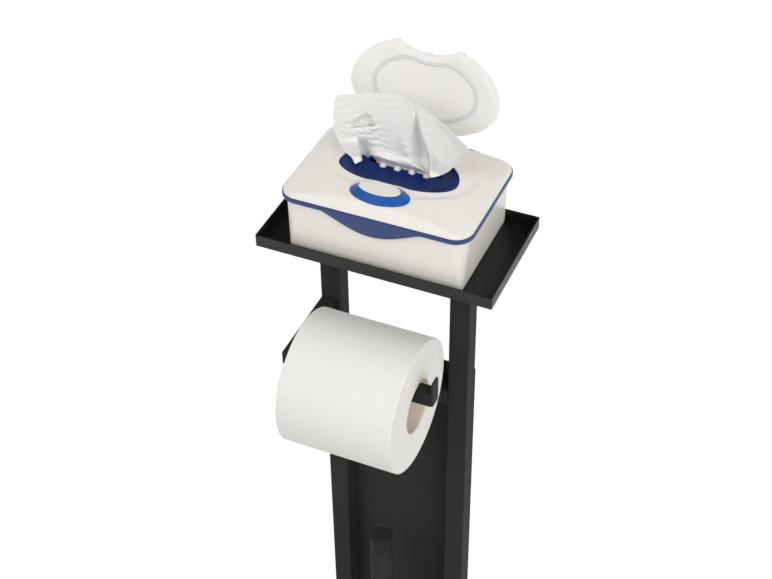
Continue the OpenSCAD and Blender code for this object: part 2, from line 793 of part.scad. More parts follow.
module button_bridge() color("#e6e3dc") at_box()
  translate([-bridge_x - 2 * wall, -button_y - bridge_w / 2, bridge_z])
    cube([2 * bridge_x + 4 * wall, bridge_w, bridge_t]);

module button_spring() color("#9a9c9e") at_box()
  translate([0, -button_y, bridge_z + bridge_t]) difference() {
    cylinder(h = skirt_z - bridge_z - bridge_t, r = spring_r);
    translate([0, 0, -over]) cylinder(h = dome_top, r = spring_r - spring_wall);
  }

// Plan of the drawn wipe: it bows forward at its sides, in soft waves
function wipe_plan(x, off) = wipe_y + off - wipe_bow * pow(x / wipe_a, 2)
  + wipe_wave * (1 - cos(360 * wipe_waves * x / (2 * wipe_a))) * -0.5;

// Front outline of the drawn wipe in shares of its half width and of its height
wipe_shares = [[-0.93, 0.78], [-1, 0.46], [-0.93, 0.18], [-0.68, -0.1], [-0.44, 0.12], [-0.3, -0.02],
  [0.3, -0.02], [0.46, -0.04], [0.7, 0.08], [0.88, 0.32], [1, 0.52], [0.8, 0.68], [0.58, 0.84],
  [0.3, 0.94], [0.16, 1], [-0.26, 0.95], [-0.66, 0.86]];

module drawn_wipe() color("#f6f5f3") at_box() {
  intersection() {
    linear_extrude(dome_top + 2 * wipe_rise) polygon(concat(
      [for (i = [0:wipe_steps]) let (x = -wipe_a + i * 2 * wipe_a / wipe_steps) [x, wipe_plan(x, 0)]],
      [for (i = [wipe_steps:-1:0]) let (x = -wipe_a + i * 2 * wipe_a / wipe_steps)
        [x, wipe_plan(x, wipe_t)]]));
    translate([0, box_d, dome_top - wipe_t]) rotate([90, 0, 0]) linear_extrude(2 * box_d)
      polygon([for (p = wipe_shares) [p[0] * wipe_a, p[1] * wipe_rise]]);
  }
  translate([-wipe_a * tail_share, wipe_y, foot_h + wall + stack_h + 2 * slip])
    cube([2 * wipe_a * tail_share, wipe_t, dome_top - foot_h - wall - stack_h]);
}

// Places a child on the brush's axis
module at_brush() {
  translate([0, stand_y - cup_y, 0]) children();
}

module brush_cup() color("#1c1c1d") at_brush() translate([0, 0, base_z]) difference() {
  cylinder(h = cup_h, r = cup_d / 2, $fn = 96);
  translate([0, 0, cup_wall]) cylinder(h = cup_h, r = cup_d / 2 - cup_wall, $fn = 96);
}

module cup_liner() color("#2b2b2c") at_brush() difference() {
  union() {
    translate([0, 0, liner_z]) cylinder(h = cup_h - cup_wall, r = liner_r, $fn = 96);
    translate([0, 0, base_z + cup_h]) cylinder(h = lip_t, r = cup_d / 2, $fn = 96);
  }
  translate([0, 0, liner_z + liner_wall]) cylinder(h = cup_h + over, r = liner_r - liner_wall, $fn = 96);
}

module cup_cover() color("#1c1c1d") at_brush() translate([0, 0, cover_z]) difference() {
  union() {
    cylinder(h = cover_t, r1 = cup_d / 2, r2 = cup_d / 2 - cover_t / 2, $fn = 96);
    cylinder(h = cover_t + boss_h, r1 = handle_d / 2 + 2 * boss_wall, r2 = handle_d / 2 + boss_wall / 2);
  }
  translate([0, 0, cover_t]) cylinder(h = boss_h + over, r = handle_d / 2 + press);
  translate([0, 0, -over]) cylinder(h = cover_t + 2 * over, r = neck_d / 2 + press);
}

module brush_handle() color("#232324") at_brush() difference() {
  translate([0, 0, handle_z]) cylinder(h = handle_top - handle_cap_h - handle_z, r = handle_d / 2);
  translate([0, 0, handle_z + boss_h]) cylinder(h = handle_top, r = handle_d / 2 - tube_wall);
  translate([0, 0, handle_z - over]) cylinder(h = boss_h + 2 * over, r = neck_d / 2 - boss_wall / 2 + press);
}

module handle_cap() color("#1a1a1b") at_brush() {
  z = handle_top - handle_cap_h;
  translate([0, 0, z]) cylinder(h = handle_cap_h - wall, r = handle_d / 2);
  translate([0, 0, handle_top - wall]) cylinder(h = wall, r1 = handle_d / 2, r2 = handle_d / 2 - wall);
  translate([0, 0, z - boss_h]) cylinder(h = boss_h, r = handle_d / 2 - tube_wall - 3 * press);
}

module brush_neck() color("#2b2b2c") at_brush() {
  core_top = head_z + head_h;
  translate([0, 0, core_top]) cylinder(h = handle_z - core_top, r = neck_d / 2);
  translate([0, 0, handle_z]) cylinder(h = boss_h - over, r = neck_d / 2 - boss_wall / 2);
}

module brush_core() color("#2b2b2c") at_brush() {
  cr = head_core_d / 2;
  translate([0, 0, head_z + cr]) cylinder(h = head_h - cr, r = cr);
  translate([0, 0, head_z + cr]) sphere(cr);
}

// Bristled sleeve as one closed mesh: the sleeve's outer wall is a grid of cells, and every
// second cell, set like a chequerboard, is drawn out into one tapered four-sided strand
cols = 2 * ring_n;
row_h = (head_h - head_core_d / 2) / ring_rows;
sleeve_z = head_z + head_core_d / 2;
function wall_pt(i, j) = [backing_r * cos(i * 360 / cols), backing_r * sin(i * 360 / cols),
  sleeve_z + j * row_h];
// Tip of the strand on cell i, j: an oval head whose strands fan out along its length
function tip_r(j) = let (u = (2 * j + 1) / ring_rows - 1) brush_d / 2 * sqrt(1 - 0.45 * pow(abs(u), 2.6));
function tip_pt(i, j, a, b) = let (
  mid_z = sleeve_z + (ring_rows / 2 + (j + 0.5 - ring_rows / 2) * flare_share) * row_h,
  t = (i + 0.5) * 360 / cols, r = tip_r(j))
  [r * cos(t) - b * strand_tip * sin(t), r * sin(t) + b * strand_tip * cos(t), mid_z + a * strand_tip];

module bristles() color("#e4e4e2") at_brush() {
  n_wall = cols * (ring_rows + 1);
  bore_r = backing_r - backing_wall;
  strands = [for (j = [0:ring_rows - 1], i = [0:cols - 1]) if ((i + j) % 2 == 0) [i, j]];
  wall_pts = [for (j = [0:ring_rows], i = [0:cols - 1]) wall_pt(i, j)];
  bore_pts = [for (z = [sleeve_z, sleeve_z + ring_rows * row_h], i = [0:cols - 1])
    [bore_r * cos(i * 360 / cols), bore_r * sin(i * 360 / cols), z]];
  tip_pts = [for (s = strands, k = [[-1, -1], [-1, 1], [1, 1], [1, -1]]) tip_pt(s[0], s[1], k[0], k[1])];
  n_bore = n_wall + 2 * cols;
  plain = [for (j = [0:ring_rows - 1], i = [0:cols - 1]) if ((i + j) % 2 == 1)
    let (a = j * cols + i, b = j * cols + (i + 1) % cols, c = b + cols, d = a + cols)
    for (f = [[a, c, b], [a, d, c]]) f];
  drawn = [for (k = [0:len(strands) - 1]) let (i = strands[k][0], j = strands[k][1],
    a = j * cols + i, b = j * cols + (i + 1) % cols, q = [a, b, b + cols, a + cols], t = n_bore + 4 * k)
    for (f = concat(
      [for (m = [0:3]) let (n = (m + 1) % 4) for (g = [[q[m], t + n, q[n]], [q[m], t + m, t + n]]) g],
      [[t, t + 2, t + 1], [t, t + 3, t + 2]])) f];
  top = ring_rows * cols;
  rings = [for (i = [0:cols - 1]) let (n = (i + 1) % cols, lo = n_wall, hi = n_wall + cols)
    for (f = [[i, n, lo + n], [i, lo + n, lo + i], [top + i, hi + n, top + n], [top + i, hi + i, hi + n],
      [lo + i, lo + n, hi + n], [lo + i, hi + n, hi + i]]) f];
  polyhedron(points = concat(wall_pts, bore_pts, tip_pts), faces = concat(plain, drawn, rings));
}

base_plate();
base_pads();
left_upright();
right_upright();
upright_plugs();
base_screws();
cross_tube();
back_panel();
panel_screws();
tray();
tray_screws();
roll_arm();
arm_stop();
arm_screw();
roll_core();
paper_roll();
tub();
wipes_stack();
lid_rim();
lid_shell();
lid_hinge_pins();
dispenser_well();
flap();
flap_pin();
button();
button_cap();
button_spring();
button_bridge();
drawn_wipe();
brush_cup();
cup_liner();
cup_cover();
brush_handle();
handle_cap();
brush_neck();
brush_core();
bristles();
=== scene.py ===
# %% [markdown]
# # A bathroom stand with a wipes box, a paper roll and a brush
# This lesson dresses a finished construction model. The steel frame, its screws and its pins
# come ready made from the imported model, and this file gives them their finish. The moulded
# box, the paper, the wipes and the bristles are softer or finer than the construction shows,
# so each gets a surface of its own here, worked out with numpy.

# %% The frame
import math

import bmesh
import bpy
import numpy as np
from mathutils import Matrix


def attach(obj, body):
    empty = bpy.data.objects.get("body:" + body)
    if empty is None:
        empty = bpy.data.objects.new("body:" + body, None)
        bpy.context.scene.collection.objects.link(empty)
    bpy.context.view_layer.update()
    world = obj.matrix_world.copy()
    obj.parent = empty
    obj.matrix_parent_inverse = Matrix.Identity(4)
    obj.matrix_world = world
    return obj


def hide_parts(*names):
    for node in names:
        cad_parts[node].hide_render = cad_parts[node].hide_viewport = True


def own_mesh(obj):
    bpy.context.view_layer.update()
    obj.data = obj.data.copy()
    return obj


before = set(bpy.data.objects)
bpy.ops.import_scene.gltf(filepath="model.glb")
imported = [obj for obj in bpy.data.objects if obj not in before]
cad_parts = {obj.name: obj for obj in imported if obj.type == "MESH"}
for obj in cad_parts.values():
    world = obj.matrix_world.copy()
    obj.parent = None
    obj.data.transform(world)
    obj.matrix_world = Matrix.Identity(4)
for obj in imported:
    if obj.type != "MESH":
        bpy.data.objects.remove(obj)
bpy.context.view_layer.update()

# %% [markdown]
# ## Measures
# The shapes are written in millimetres, each about a natural point of its own piece, and are
# turned to metres when they are put into a mesh. Three points place the pieces on the stand.

# %% Places of the pieces, in millimetres
STAND_Y = 33.875
BOX = np.array([-1.0, STAND_Y + 1.3 + 3.0, 701.5])
ROLL = np.array([2.0, STAND_Y - 80.05, 603.047])
BRUSH = np.array([0.0, STAND_Y - 43.2, 0.0])
print("box foot", BOX, "roll axis", ROLL, "brush axis", BRUSH)

# %% [markdown]
# ## The camera
# The stand is seen from above and from its right side. A lens of 70 mm keeps the edges of the
# tray almost parallel. A camera looks along its own -Z, so its three axes are written as the
# columns of a matrix: to the right, up, and backwards.

# %% Camera
from mathutils import Matrix


def put(name, data):
    """A new object of the scene that carries the data."""
    obj = bpy.data.objects.new(name, data)
    bpy.context.collection.objects.link(obj)
    return obj


def turn_to(obj, right, up, back, at):
    """Gives an object its three axes, as the columns of a matrix, and its place."""
    matrix = np.eye(4)
    matrix[:3, 0], matrix[:3, 1], matrix[:3, 2], matrix[:3, 3] = right, up, back, at
    obj.matrix_world = Matrix(matrix.tolist())


EYE = (0.37601, -0.830845, 1.4539)
PITCH, YAW, ROLL_ANGLE = (math.radians(a) for a in (40.6188, -24.1006, -0.8287))
forward = np.array([math.sin(YAW) * math.cos(PITCH), math.cos(YAW) * math.cos(PITCH), -math.sin(PITCH)])
right = np.array([math.cos(YAW), -math.sin(YAW), 0.0])
up = np.cross(right, forward)
tilted_right = math.cos(ROLL_ANGLE) * right + math.sin(ROLL_ANGLE) * up
tilted_up = -math.sin(ROLL_ANGLE) * right + math.cos(ROLL_ANGLE) * up
camera = put("camera", bpy.data.cameras.new("camera"))
camera.data.lens = 70.35
camera.data.sensor_width = 36
camera.data.clip_start, camera.data.clip_end = 0.01, 40
turn_to(camera, tilted_right, tilted_up, -forward, EYE)
bpy.context.scene.camera = camera
bpy.context.scene.view_settings.view_transform = "Standard"
print("camera looks down", round(math.degrees(PITCH), 1), "degrees")

# %% [markdown]
# ## Colours and nodes
# A colour picked from a picture is sRGB, while a shader works in linear light, so one function
# turns the first into the second. The other small functions add shader nodes with their settings
# and their links, which keeps each finish readable as a list of steps.

# %% Helpers for finishes
def linear(colour):
    """Linear RGBA of an sRGB hex colour: c/12.92 below 0.04045, else ((c+0.055)/1.055)^2.4."""
    c = np.array([int(colour[i:i + 2], 16) for i in (1, 3, 5)]) / 255
    c = np.where(c <= 0.04045, c / 12.92, ((c + 0.055) / 1.055) ** 2.4)
    return (*c.tolist(), 1.0)


def add(tree, kind, sockets=(), **settings):
    """One node: settings are its properties, sockets maps an input to a value or to an output."""
    node = tree.nodes.new(kind)
    for name, value in settings.items():
        setattr(node, name, value)
    for name, value in dict(sockets).items():
        if isinstance(value, bpy.types.NodeSocket):
            tree.links.new(value, node.inputs[name])
        else:
            node.inputs[name].default_value = value
    return node


def finish(name):
    """A new empty material, its tree of nodes, and the coordinates that its patterns read."""
    material = bpy.data.materials.new(name)
    material.use_nodes = True
    tree = material.node_tree
    tree.nodes.clear()
    coords = add(tree, "ShaderNodeTexCoord").outputs["Object"]
    return material, tree, coords


def close(tree, sockets):
    """A Principled shader with these inputs, linked to the material's output."""
    shader = add(tree, "ShaderNodeBsdfPrincipled", sockets)
    add(tree, "ShaderNodeOutputMaterial", {"Surface": shader.outputs["BSDF"]})


def per_mm(size):
    """Scale of a noise whose grains measure size millimetres: one over the size in metres."""
    return 1000.0 / size


def noise(tree, coords, size, detail, **more):
    """Factor of a noise whose grains measure size millimetres."""
    return add(tree, "ShaderNodeTexNoise", {"Vector": coords, "Scale": per_mm(size),
                                            "Detail": detail, **more}).outputs["Fac"]


def span(tree, value, low, high):
    """A value between 0 and 1, spread from low to high."""
    return add(tree, "ShaderNodeMapRange", {"Value": value, "To Min": low,
                                            "To Max": high}).outputs["Result"]


def blend(tree, share, first, second):
    """Mix of two hex colours: the second takes the share."""
    return add(tree, "ShaderNodeMix", {"Factor": share, "A": linear(first), "B": linear(second)},
               data_type="RGBA").outputs["Result"]


def bump(tree, height, strength, mm, **under):
    """Normal bent by a height of so many millimetres; under may give the Normal it starts from."""
    return add(tree, "ShaderNodeBump", {"Height": height, "Strength": strength,
                                        "Distance": mm / 1000, **under}).outputs["Normal"]


print("mid grey in linear light:", round(linear("#808080")[0], 3))

# %% [markdown]
# ## Powder coat
# Steel tube and sheet are sprayed with polyester powder, which melts into a skin with a faint
# orange peel. The peel shows as soft unevenness in the shine, so it is a bump of waves about
# 1.5 mm wide, with a second, finer grain. There are two coats: a matt, greyer one on the frame
# and a satin one on the tray, whose colour is darkened as painted shade so that the tray's floor
# comes out almost black.

# %% Black powder coats
def powder_coat(name, dark, pale, rough, gloss):
    """Dark dielectric skin: two noises bend its normal, and a broad one varies its shine. Matt
    fillers in the skin lower its gloss, the specular level, under the usual 0.5."""
    material, tree, coords = finish(name)
    cloud = noise(tree, coords, 40, 3.0)
    peel = bump(tree, noise(tree, coords, 1.5, 1.0), 0.25, 0.1)
    grain = bump(tree, noise(tree, coords, 0.5, 0.0), 0.2, 0.05, Normal=peel)
    close(tree, {"Base Color": blend(tree, cloud, dark, pale),
                 "Roughness": span(tree, cloud, rough - 0.08, rough + 0.08),
                 "IOR": 1.5, "Specular IOR Level": gloss, "Normal": grain})
    return material


frame_coat = powder_coat("matt_powder_coat", "#31302f", "#373635", 0.55, 0.03)
# The tray's darker base colour is painted shade for its floor; its satin shine is the coat's own.
tray_coat_painted_shade = powder_coat("satin_powder_coat_painted_shade", "#161617", "#1b1b1b", 0.4, 0.4)
print("finishes:", frame_coat.name, tray_coat_painted_shade.name)

# %% [markdown]
# ## Small metal
# The tube plugs, the base screws, the hinge pins and the spring are zinc plated steel: a bright
# grey metal whose crystals scatter the light a little. The screws of the panel, the tray and the
# arm are blackened, and keep only a dull sheen.

# %% Zinc plate and blackened steel
def plated(name, colour, rough, metallic):
    """Metal with a fine crystal mottling of 0.4 mm in its roughness."""
    material, tree, coords = finish(name)
    crystals = add(tree, "ShaderNodeTexVoronoi", {"Vector": coords, "Scale": per_mm(0.4)})
    close(tree, {"Base Color": linear(colour), "Metallic": metallic,
                 "Roughness": span(tree, crystals.outputs["Distance"], rough, rough + 0.15)})
    return material


zinc = plated("zinc_plated_steel", "#b9babc", 0.3, 1.0)
blackened = plated("blackened_steel", "#2a2a2b", 0.4, 0.6)
print("finishes:", zinc.name, blackened.name)

# %% [markdown]
# ## Moulded plastic
# The box is injection moulded polypropylene. It is slightly waxy: light goes a little way in,
# which softens its shadows, and the polished mould leaves a broad, clean shine. The brush
# parts and the pads are matt, with the spark-eroded grain of a cheaper mould.

# %% Polypropylene and rubber
def moulded(name, colour, rough, ior=1.49, depth=0.0, grain=0.004, grain_mm=0.6, gloss=0.5):
    """Plastic: a flow mottling of 25 mm in the shine, an eroded grain that is grain millimetres
    deep and grain_mm wide, and light depth in metres."""
    material, tree, coords = finish(name)
    flow, pits = noise(tree, coords, 25, 2.0), noise(tree, coords, grain_mm, 1.0)
    close(tree, {
        "Base Color": linear(colour), "Roughness": span(tree, flow, rough - 0.04, rough + 0.04),
        "IOR": ior, "Specular IOR Level": gloss, "Subsurface Weight": 0.35 if depth else 0.0,
        "Subsurface Radius": (1.0, 0.9, 0.75), "Subsurface Scale": max(depth, 0.001),
        "Normal": bump(tree, pits, 1.0, grain)})
    return material


white_pp = moulded("white_polypropylene", "#eeeae4", 0.3, depth=0.0025)
flap_pp = moulded("flap_polypropylene", "#eae9e7", 0.34, depth=0.002)
rim_pp = moulded("blue_polypropylene", "#283e70", 0.33)
well_pp = moulded("navy_polypropylene", "#0c2966", 0.35, gloss=0.25)
button_pp = moulded("bright_blue_polypropylene", "#1a58a6", 0.33)
black_pp = moulded("black_polypropylene", "#2d2d2d", 0.6, grain=0.03, gloss=0.04)
nylon = moulded("white_nylon", "#e4e4e0", 0.4, ior=1.53, depth=0.0006)
rubber = moulded("black_rubber", "#2c2c2d", 0.8, ior=1.52, grain=0.06, grain_mm=0.9)
print("plastics:", white_pp.name, rim_pp.name, well_pp.name, button_pp.name, black_pp.name)

# %% [markdown]
# ## Paper, board and cloth
# Toilet tissue is embossed with small dots, about 3.4 mm apart and slightly irregular, that press
# its plies together. They follow the sheet round the roll, so they read the roll's own UV map,
# in which one unit is a metre. Its ends show hundreds of cut edges, drawn as rings coarse enough
# to see. The core is pale board. The wipes are wet-laid fibre, which has a soft mesh and no
# thread.

# %% Embossed tissue
def tissue(name, colour):
    """Cells of 3.4 mm from the UV map make the dots; a crepe of 2 mm lies under them. Both bump."""
    material, tree, coords = finish(name)
    sheet_uv = add(tree, "ShaderNodeUVMap", uv_map="sheet").outputs["UV"]
    turned = add(tree, "ShaderNodeMapping", {"Vector": sheet_uv, "Rotation": (0, 0, 0.785)})
    dots = add(tree, "ShaderNodeTexVoronoi", {"Vector": turned.outputs["Vector"],
                                              "Scale": per_mm(3.4), "Randomness": 0.8},
               voronoi_dimensions="2D")
    dot = add(tree, "ShaderNodeMapRange", {"Value": dots.outputs["Distance"], "From Min": 0.1,
                                           "From Max": 0.5}, interpolation_type="SMOOTHSTEP")
    crepe = bump(tree, noise(tree, coords, 2.0, 4.0), 0.7, 0.4)
    close(tree, {
        "Base Color": linear(colour), "Roughness": 0.95, "IOR": 1.35, "Sheen Weight": 0.45,
        "Sheen Roughness": 0.5, "Subsurface Weight": 0.25, "Subsurface Radius": (1.0, 0.95, 0.9),
        "Subsurface Scale": 0.002,
        "Normal": bump(tree, dot.outputs["Result"], 0.35, 0.3, Normal=crepe)})
    return material


paper = tissue("embossed_tissue", "#e8e7e4")
print("finish:", paper.name)

# %% Cut ends, board and fleece
def fibrous(name, colour, other, grain_mm, bump_mm, rings=0.0, depth=0.0):
    """Fibre in two colours mixed by a noise; rings adds cut edges round the X axis, per metre."""
    material, tree, coords = finish(name)
    fibre = height = noise(tree, coords, grain_mm, 5.0, Roughness=0.65)
    if rings:
        axis = add(tree, "ShaderNodeMapping", {"Vector": coords,
                                               "Location": (0, -ROLL[1] / 1000, -ROLL[2] / 1000)})
        wave = add(tree, "ShaderNodeTexWave", {"Vector": axis.outputs["Vector"],
                                               "Scale": rings / 2, "Distortion": 2.0,
                                               "Detail": 2.0, "Detail Scale": 3.0},
                   wave_type="RINGS", rings_direction="X")
        height = add(tree, "ShaderNodeMath", {0: wave.outputs["Fac"], 1: 0.25, 2: height},
                     operation="MULTIPLY_ADD").outputs["Value"]
    close(tree, {
        "Base Color": blend(tree, fibre, colour, other), "Roughness": 0.9, "IOR": 1.4,
        "Subsurface Weight": 0.3 if depth else 0.0, "Subsurface Radius": (1.0, 0.95, 0.9),
        "Subsurface Scale": max(depth, 0.0005), "Sheen Weight": 0.1, "Sheen Roughness": 0.5,
        "Normal": bump(tree, height, 0.6, bump_mm)})
    return material


paper_end = fibrous("cut_tissue_edges", "#f6f4f1", "#eeece9", 1.2, 0.25, rings=350.0, depth=0.001)
board = fibrous("wound_grey_board", "#eee4d6", "#e0d4c4", 2.5, 0.06)
fleece = fibrous("wet_laid_fleece", "#ecebe9", "#e8e7e5", 1.6, 0.12)
print("finishes:", paper_end.name, board.name, fleece.name)

# %% [markdown]
# ## Making meshes with numpy
# Most new pieces are lofts: a row of closed rings with the same number of points, joined by
# quads, with a face over the first and the last ring. The domed parts are sheets: a flat grid
# is cut to an outline and lifted by a height function, once for each side of the wall.

# %% Meshes from arrays
def grid_quads(rows, cols, wrap_rows=False, wrap_cols=False):
    """Quads of a grid stored row by row: each joins a point to the next one in its row and the
    two under them in the next row; wrapping joins the last row or column to the first."""
    i = np.arange(rows if wrap_rows else rows - 1)[:, None]
    j = np.arange(cols if wrap_cols else cols - 1)[None, :]
    below, beside = (i + 1) % rows, (j + 1) % cols
    return np.stack([i * cols + j, i * cols + beside, below * cols + beside, below * cols + j],
                    -1).reshape(-1, 4)


def loft(rings, closed=False):
    """Rings of shape (rows, points, 3) joined to a closed form: with its ends capped by one face
    each, or, when closed, with the last ring joined to the first."""
    rows, cols = rings.shape[:2]
    faces = grid_quads(rows, cols, wrap_rows=closed, wrap_cols=True).tolist()
    if not closed:
        faces += [list(range(cols))[::-1], list(range((rows - 1) * cols, rows * cols))]
    return rings.reshape(-1, 3), faces


def join(*parts):
    """Several (points, faces) pairs as one, with the later faces' numbers moved on."""
    points, faces, start = [], [], 0
    for p, f in parts:
        points.append(p)
        faces += [[v + start for v in face] for face in f]
        start += len(p)
    return np.concatenate(points), faces


print("a 3 x 4 grid has", len(grid_quads(3, 4)), "quads")

# %% From arrays to a piece
def piece(name, part, origin, body, material, stands_for=(), smooth=35, bevel=0.0, weld=True):
    """Puts millimetre points, moved by origin, into a mesh in metres; merges doubles, turns the
    faces outwards, shades smooth below the angle, and hands the piece to its body."""
    points, faces = part
    mesh = bpy.data.meshes.new(name)
    mesh.from_pydata(((points + origin) * 0.001).tolist(), [], faces)
    if weld:
        bm = bmesh.new()
        bm.from_mesh(mesh)
        bmesh.ops.remove_doubles(bm, verts=bm.verts, dist=1e-6)
        bmesh.ops.dissolve_degenerate(bm, edges=bm.edges, dist=1e-7)
        bmesh.ops.recalc_face_normals(bm, faces=bm.faces)
        bm.to_mesh(mesh)
        bm.free()
    mesh.shade_smooth()
    mesh.set_sharp_from_angle(angle=math.radians(smooth))
    obj = put(name, mesh)
    mesh.materials.append(material)
    if bevel:
        soften(obj, bevel)
    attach(obj, body)
    if stands_for:
        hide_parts(*stands_for)
    print(f"{name}: {len(mesh.vertices)} points, {len(mesh.polygons)} faces")
    return obj


def soften(obj, width, angle=40):
    """Rounds the edges that are sharper than angle with a bevel, width in millimetres."""
    mod = obj.modifiers.new("edges", "BEVEL")
    mod.width, mod.segments, mod.limit_method = width / 1000, 2, "ANGLE"
    mod.angle_limit, mod.harden_normals, mod.miter_outer = math.radians(angle), False, "MITER_ARC"


# %% [markdown]
# ## Outlines
# Outlines are written as distances: a function of x and y that is positive inside, and grows
# by one for each millimetre inwards. Such a function cuts a sheet, shapes its height, and can
# be joined with others by taking the smaller or the larger of two.

# %% Distances to outlines
def ease(t):
    """Smooth step: 3t^2 - 2t^3 between 0 and 1."""
    t = np.clip(t, 0, 1)
    return t * t * (3 - 2 * t)


def in_round_rect(x, y, w, d, r):
    """Distance inside a rounded rectangle: r less the length of what reaches past its core."""
    qx, qy = np.abs(x) - (w / 2 - r), np.abs(y) - (d / 2 - r)
    return r - np.hypot(np.maximum(qx, 0), np.maximum(qy, 0)) - np.minimum(np.maximum(qx, qy), 0)


def in_oval(x, y, a, front, back):
    """Rough distance inside an oval with its own reach to the front and the back: how far its
    scaled radius is from one, over the slope of that radius."""
    b = np.where(y > 0, back, front)
    k = np.hypot(x / a, y / b)
    slope = np.hypot(x / a ** 2, y / b ** 2) / np.maximum(k, 1e-6)
    return (1 - k) / np.maximum(slope, 1e-6)


def in_kidney(x, y, a, front, back, dip):
    """An oval whose front is pressed in by dip times the bell exp(-(x/16)^2)."""
    return in_oval(x, y, a, front - dip * np.exp(-(x / 16) ** 2), back)


def round_angles(n):
    """n angles spread evenly over a full turn, from zero on."""
    return np.linspace(0, 2 * np.pi, n + 1)[:-1]


def ring_round_rect(w, d, r, z, n=12):
    """Rounded rectangle as a ring of 4(n+1) points: a quarter circle round each corner."""
    t = np.linspace(0, np.pi / 2, n + 1)
    parts = []
    for k, (sx, sy) in enumerate(((1, 1), (-1, 1), (-1, -1), (1, -1))):
        a = t + k * np.pi / 2
        parts.append(np.stack([sx * (w / 2 - r) + r * np.cos(a), sy * (d / 2 - r) + r * np.sin(a),
                               np.full_like(a, z)], -1))
    return np.concatenate(parts)


print("centre of a 10 mm square lies", in_round_rect(np.array(0.), np.array(0.), 10, 10, 1), "mm inside")

# %% Sheets cut from a grid
def slope_of(f, x, y, e=0.01):
    """Gradient of f by small steps of e to both sides."""
    return ((f(x + e, y) - f(x - e, y)) / (2 * e), (f(x, y + e) - f(x, y - e)) / (2 * e))


def pull(f, x, y, near):
    """Moves the points that near picks on to the line f = 0, along f's slope, three times."""
    for _ in range(3):
        gx, gy = slope_of(f, x, y)
        step = np.where(near, f(x, y) / np.maximum(gx ** 2 + gy ** 2, 1e-6), 0)
        step = np.clip(step, -1.2, 1.2)
        x, y = x - step * gx, y - step * gy
    return x, y


def sheet(keep, top, bottom, reach, step, creases=()):
    """Closed wall between two height functions over the part of a grid where keep > 0. Points
    near the outline, and near each crease's zero line, are pulled on to it, so that edges run
    clean; the rim is a strip of quads along the edges that belong to one face only."""
    nx, ny = (int(round((hi - lo) / step)) + 1 for lo, hi in reach)
    x, y = np.meshgrid(np.linspace(*reach[0], nx), np.linspace(*reach[1], ny))
    for line in creases:
        x, y = pull(line, x, y, np.abs(line(x, y)) < 0.5 * step)
    x, y = pull(keep, x, y, np.abs(keep(x, y)) < 0.55 * step)
    x, y = x.ravel(), y.ravel()
    quads = grid_quads(ny, nx)
    quads = quads[keep(x[quads].mean(1), y[quads].mean(1)) > 0]
    for _ in range(2):
        edges = np.sort(np.stack([quads, np.roll(quads, -1, 1)], -1).reshape(-1, 2), 1)
        once, counts = np.unique(edges, axis=0, return_counts=True)
        rim = np.zeros(len(x), bool)
        rim[once[counts == 1].ravel()] = True
        x, y = pull(keep, x, y, rim)
        size = 0.5 * np.abs((x[quads[:, 2]] - x[quads[:, 0]]) * (y[quads[:, 3]] - y[quads[:, 1]])
                            - (x[quads[:, 3]] - x[quads[:, 1]]) * (y[quads[:, 2]] - y[quads[:, 0]]))
        quads = quads[size > 0.02 * step ** 2]
    edges = np.stack([quads, np.roll(quads, -1, 1)], -1).reshape(-1, 2)
    _, first, counts = np.unique(np.sort(edges, 1), axis=0, return_index=True, return_counts=True)
    border = edges[first[counts == 1]]
    used, index = np.unique(quads, return_inverse=True)
    quads, x, y = index.reshape(quads.shape), x[used], y[used]
    border = np.searchsorted(used, border)
    n = len(x)
    points = np.concatenate([np.stack([x, y, top(x, y)], -1), np.stack([x, y, bottom(x, y)], -1)])
    rims = np.stack([border[:, 1], border[:, 0], border[:, 0] + n, border[:, 1] + n], -1)
    return points, np.concatenate([quads, quads[:, ::-1] + n, rims]).tolist()


# %% [markdown]
# ## The tub
# The tub is a deep drawn-in tray with a soft foot, a flat floor and a lip that the lid snaps
# over. It is one closed wall, so it is lofted in one go: from under the foot outwards,
# up the outside, over the lip, down the inside and over the floor.

# %% Tub
RIM_Z, RIM_H = 48.5, 4.5
LID_Z = RIM_Z + RIM_H
BOX_D = 110.5
TUB_W, TUB_D, TUB_R = 151.8, 103.3, 12.8
LID_AXIS_Y, LID_AXIS_Z = 58.15, 50.75


def tub_rings():
    """Rounded rectangles (inset, height): walls that lean out by 2.5 mm over their height, while
    their corner radius grows from 4 to 12.8 mm; a lip set in by 1.5 mm; an inside 1.8 mm back."""
    turn = np.linspace(0, np.pi / 2, 5)
    inset = [9.0, 8.5, 8.0, 4.0] + list(2.5 + 1.2 * (1 - np.sin(turn)))
    height = [1.2, 1.2, 0.0, 0.0] + list(1.2 * (1 - np.cos(turn)))
    inset += list(2.5 - 2.5 * np.linspace(0.04, 0.99, 14)) + [0.0, 0.3, 1.5, 1.5, 1.9]
    height += list(48.3 * np.linspace(0.04, 0.99, 14)) + [48.1, 48.3, 48.3, 51.2, 51.5]
    inset += [2.9, 3.3, 3.3, 3.4, 4.2, 4.5, 6.0, 9.0]
    height += [51.5, 51.2, 48.0, 40.0, 6.0, 4.2, 3.0, 3.0]
    corner = np.interp(height, [0, 48.3], [4.0, TUB_R])
    corner = np.maximum(corner - 0.5 * (np.array(inset) - np.interp(height, [0, 48.3], [2.5, 0])), 2.0)
    return np.stack([ring_round_rect(TUB_W - 2 * i, TUB_D - 2 * i, r, z)
                     for i, r, z in zip(inset, corner, height)])


def slab_x(outline, x0, x1):
    """A flat outline in (y, z), carried along X from x0 to x1 and capped."""
    yz = np.array(outline, float)
    return loft(np.stack([np.column_stack([np.full(len(yz), x), yz]) for x in (x0, x1)]))


def arc(y, z, r, start, end, n):
    """Points (y, z) on a circle of radius r, from the angle start to the angle end."""
    t = np.linspace(start, end, n)
    return np.stack([y + r * np.cos(t), z + r * np.sin(t)], -1)


def knuckle(y, z, r, foot):
    """Outline of a hinge ear: a half circle of radius r on straight legs down to foot."""
    return np.concatenate([arc(y, z, r, 0, np.pi, 20), [[y - r, foot], [y + r, foot]]])


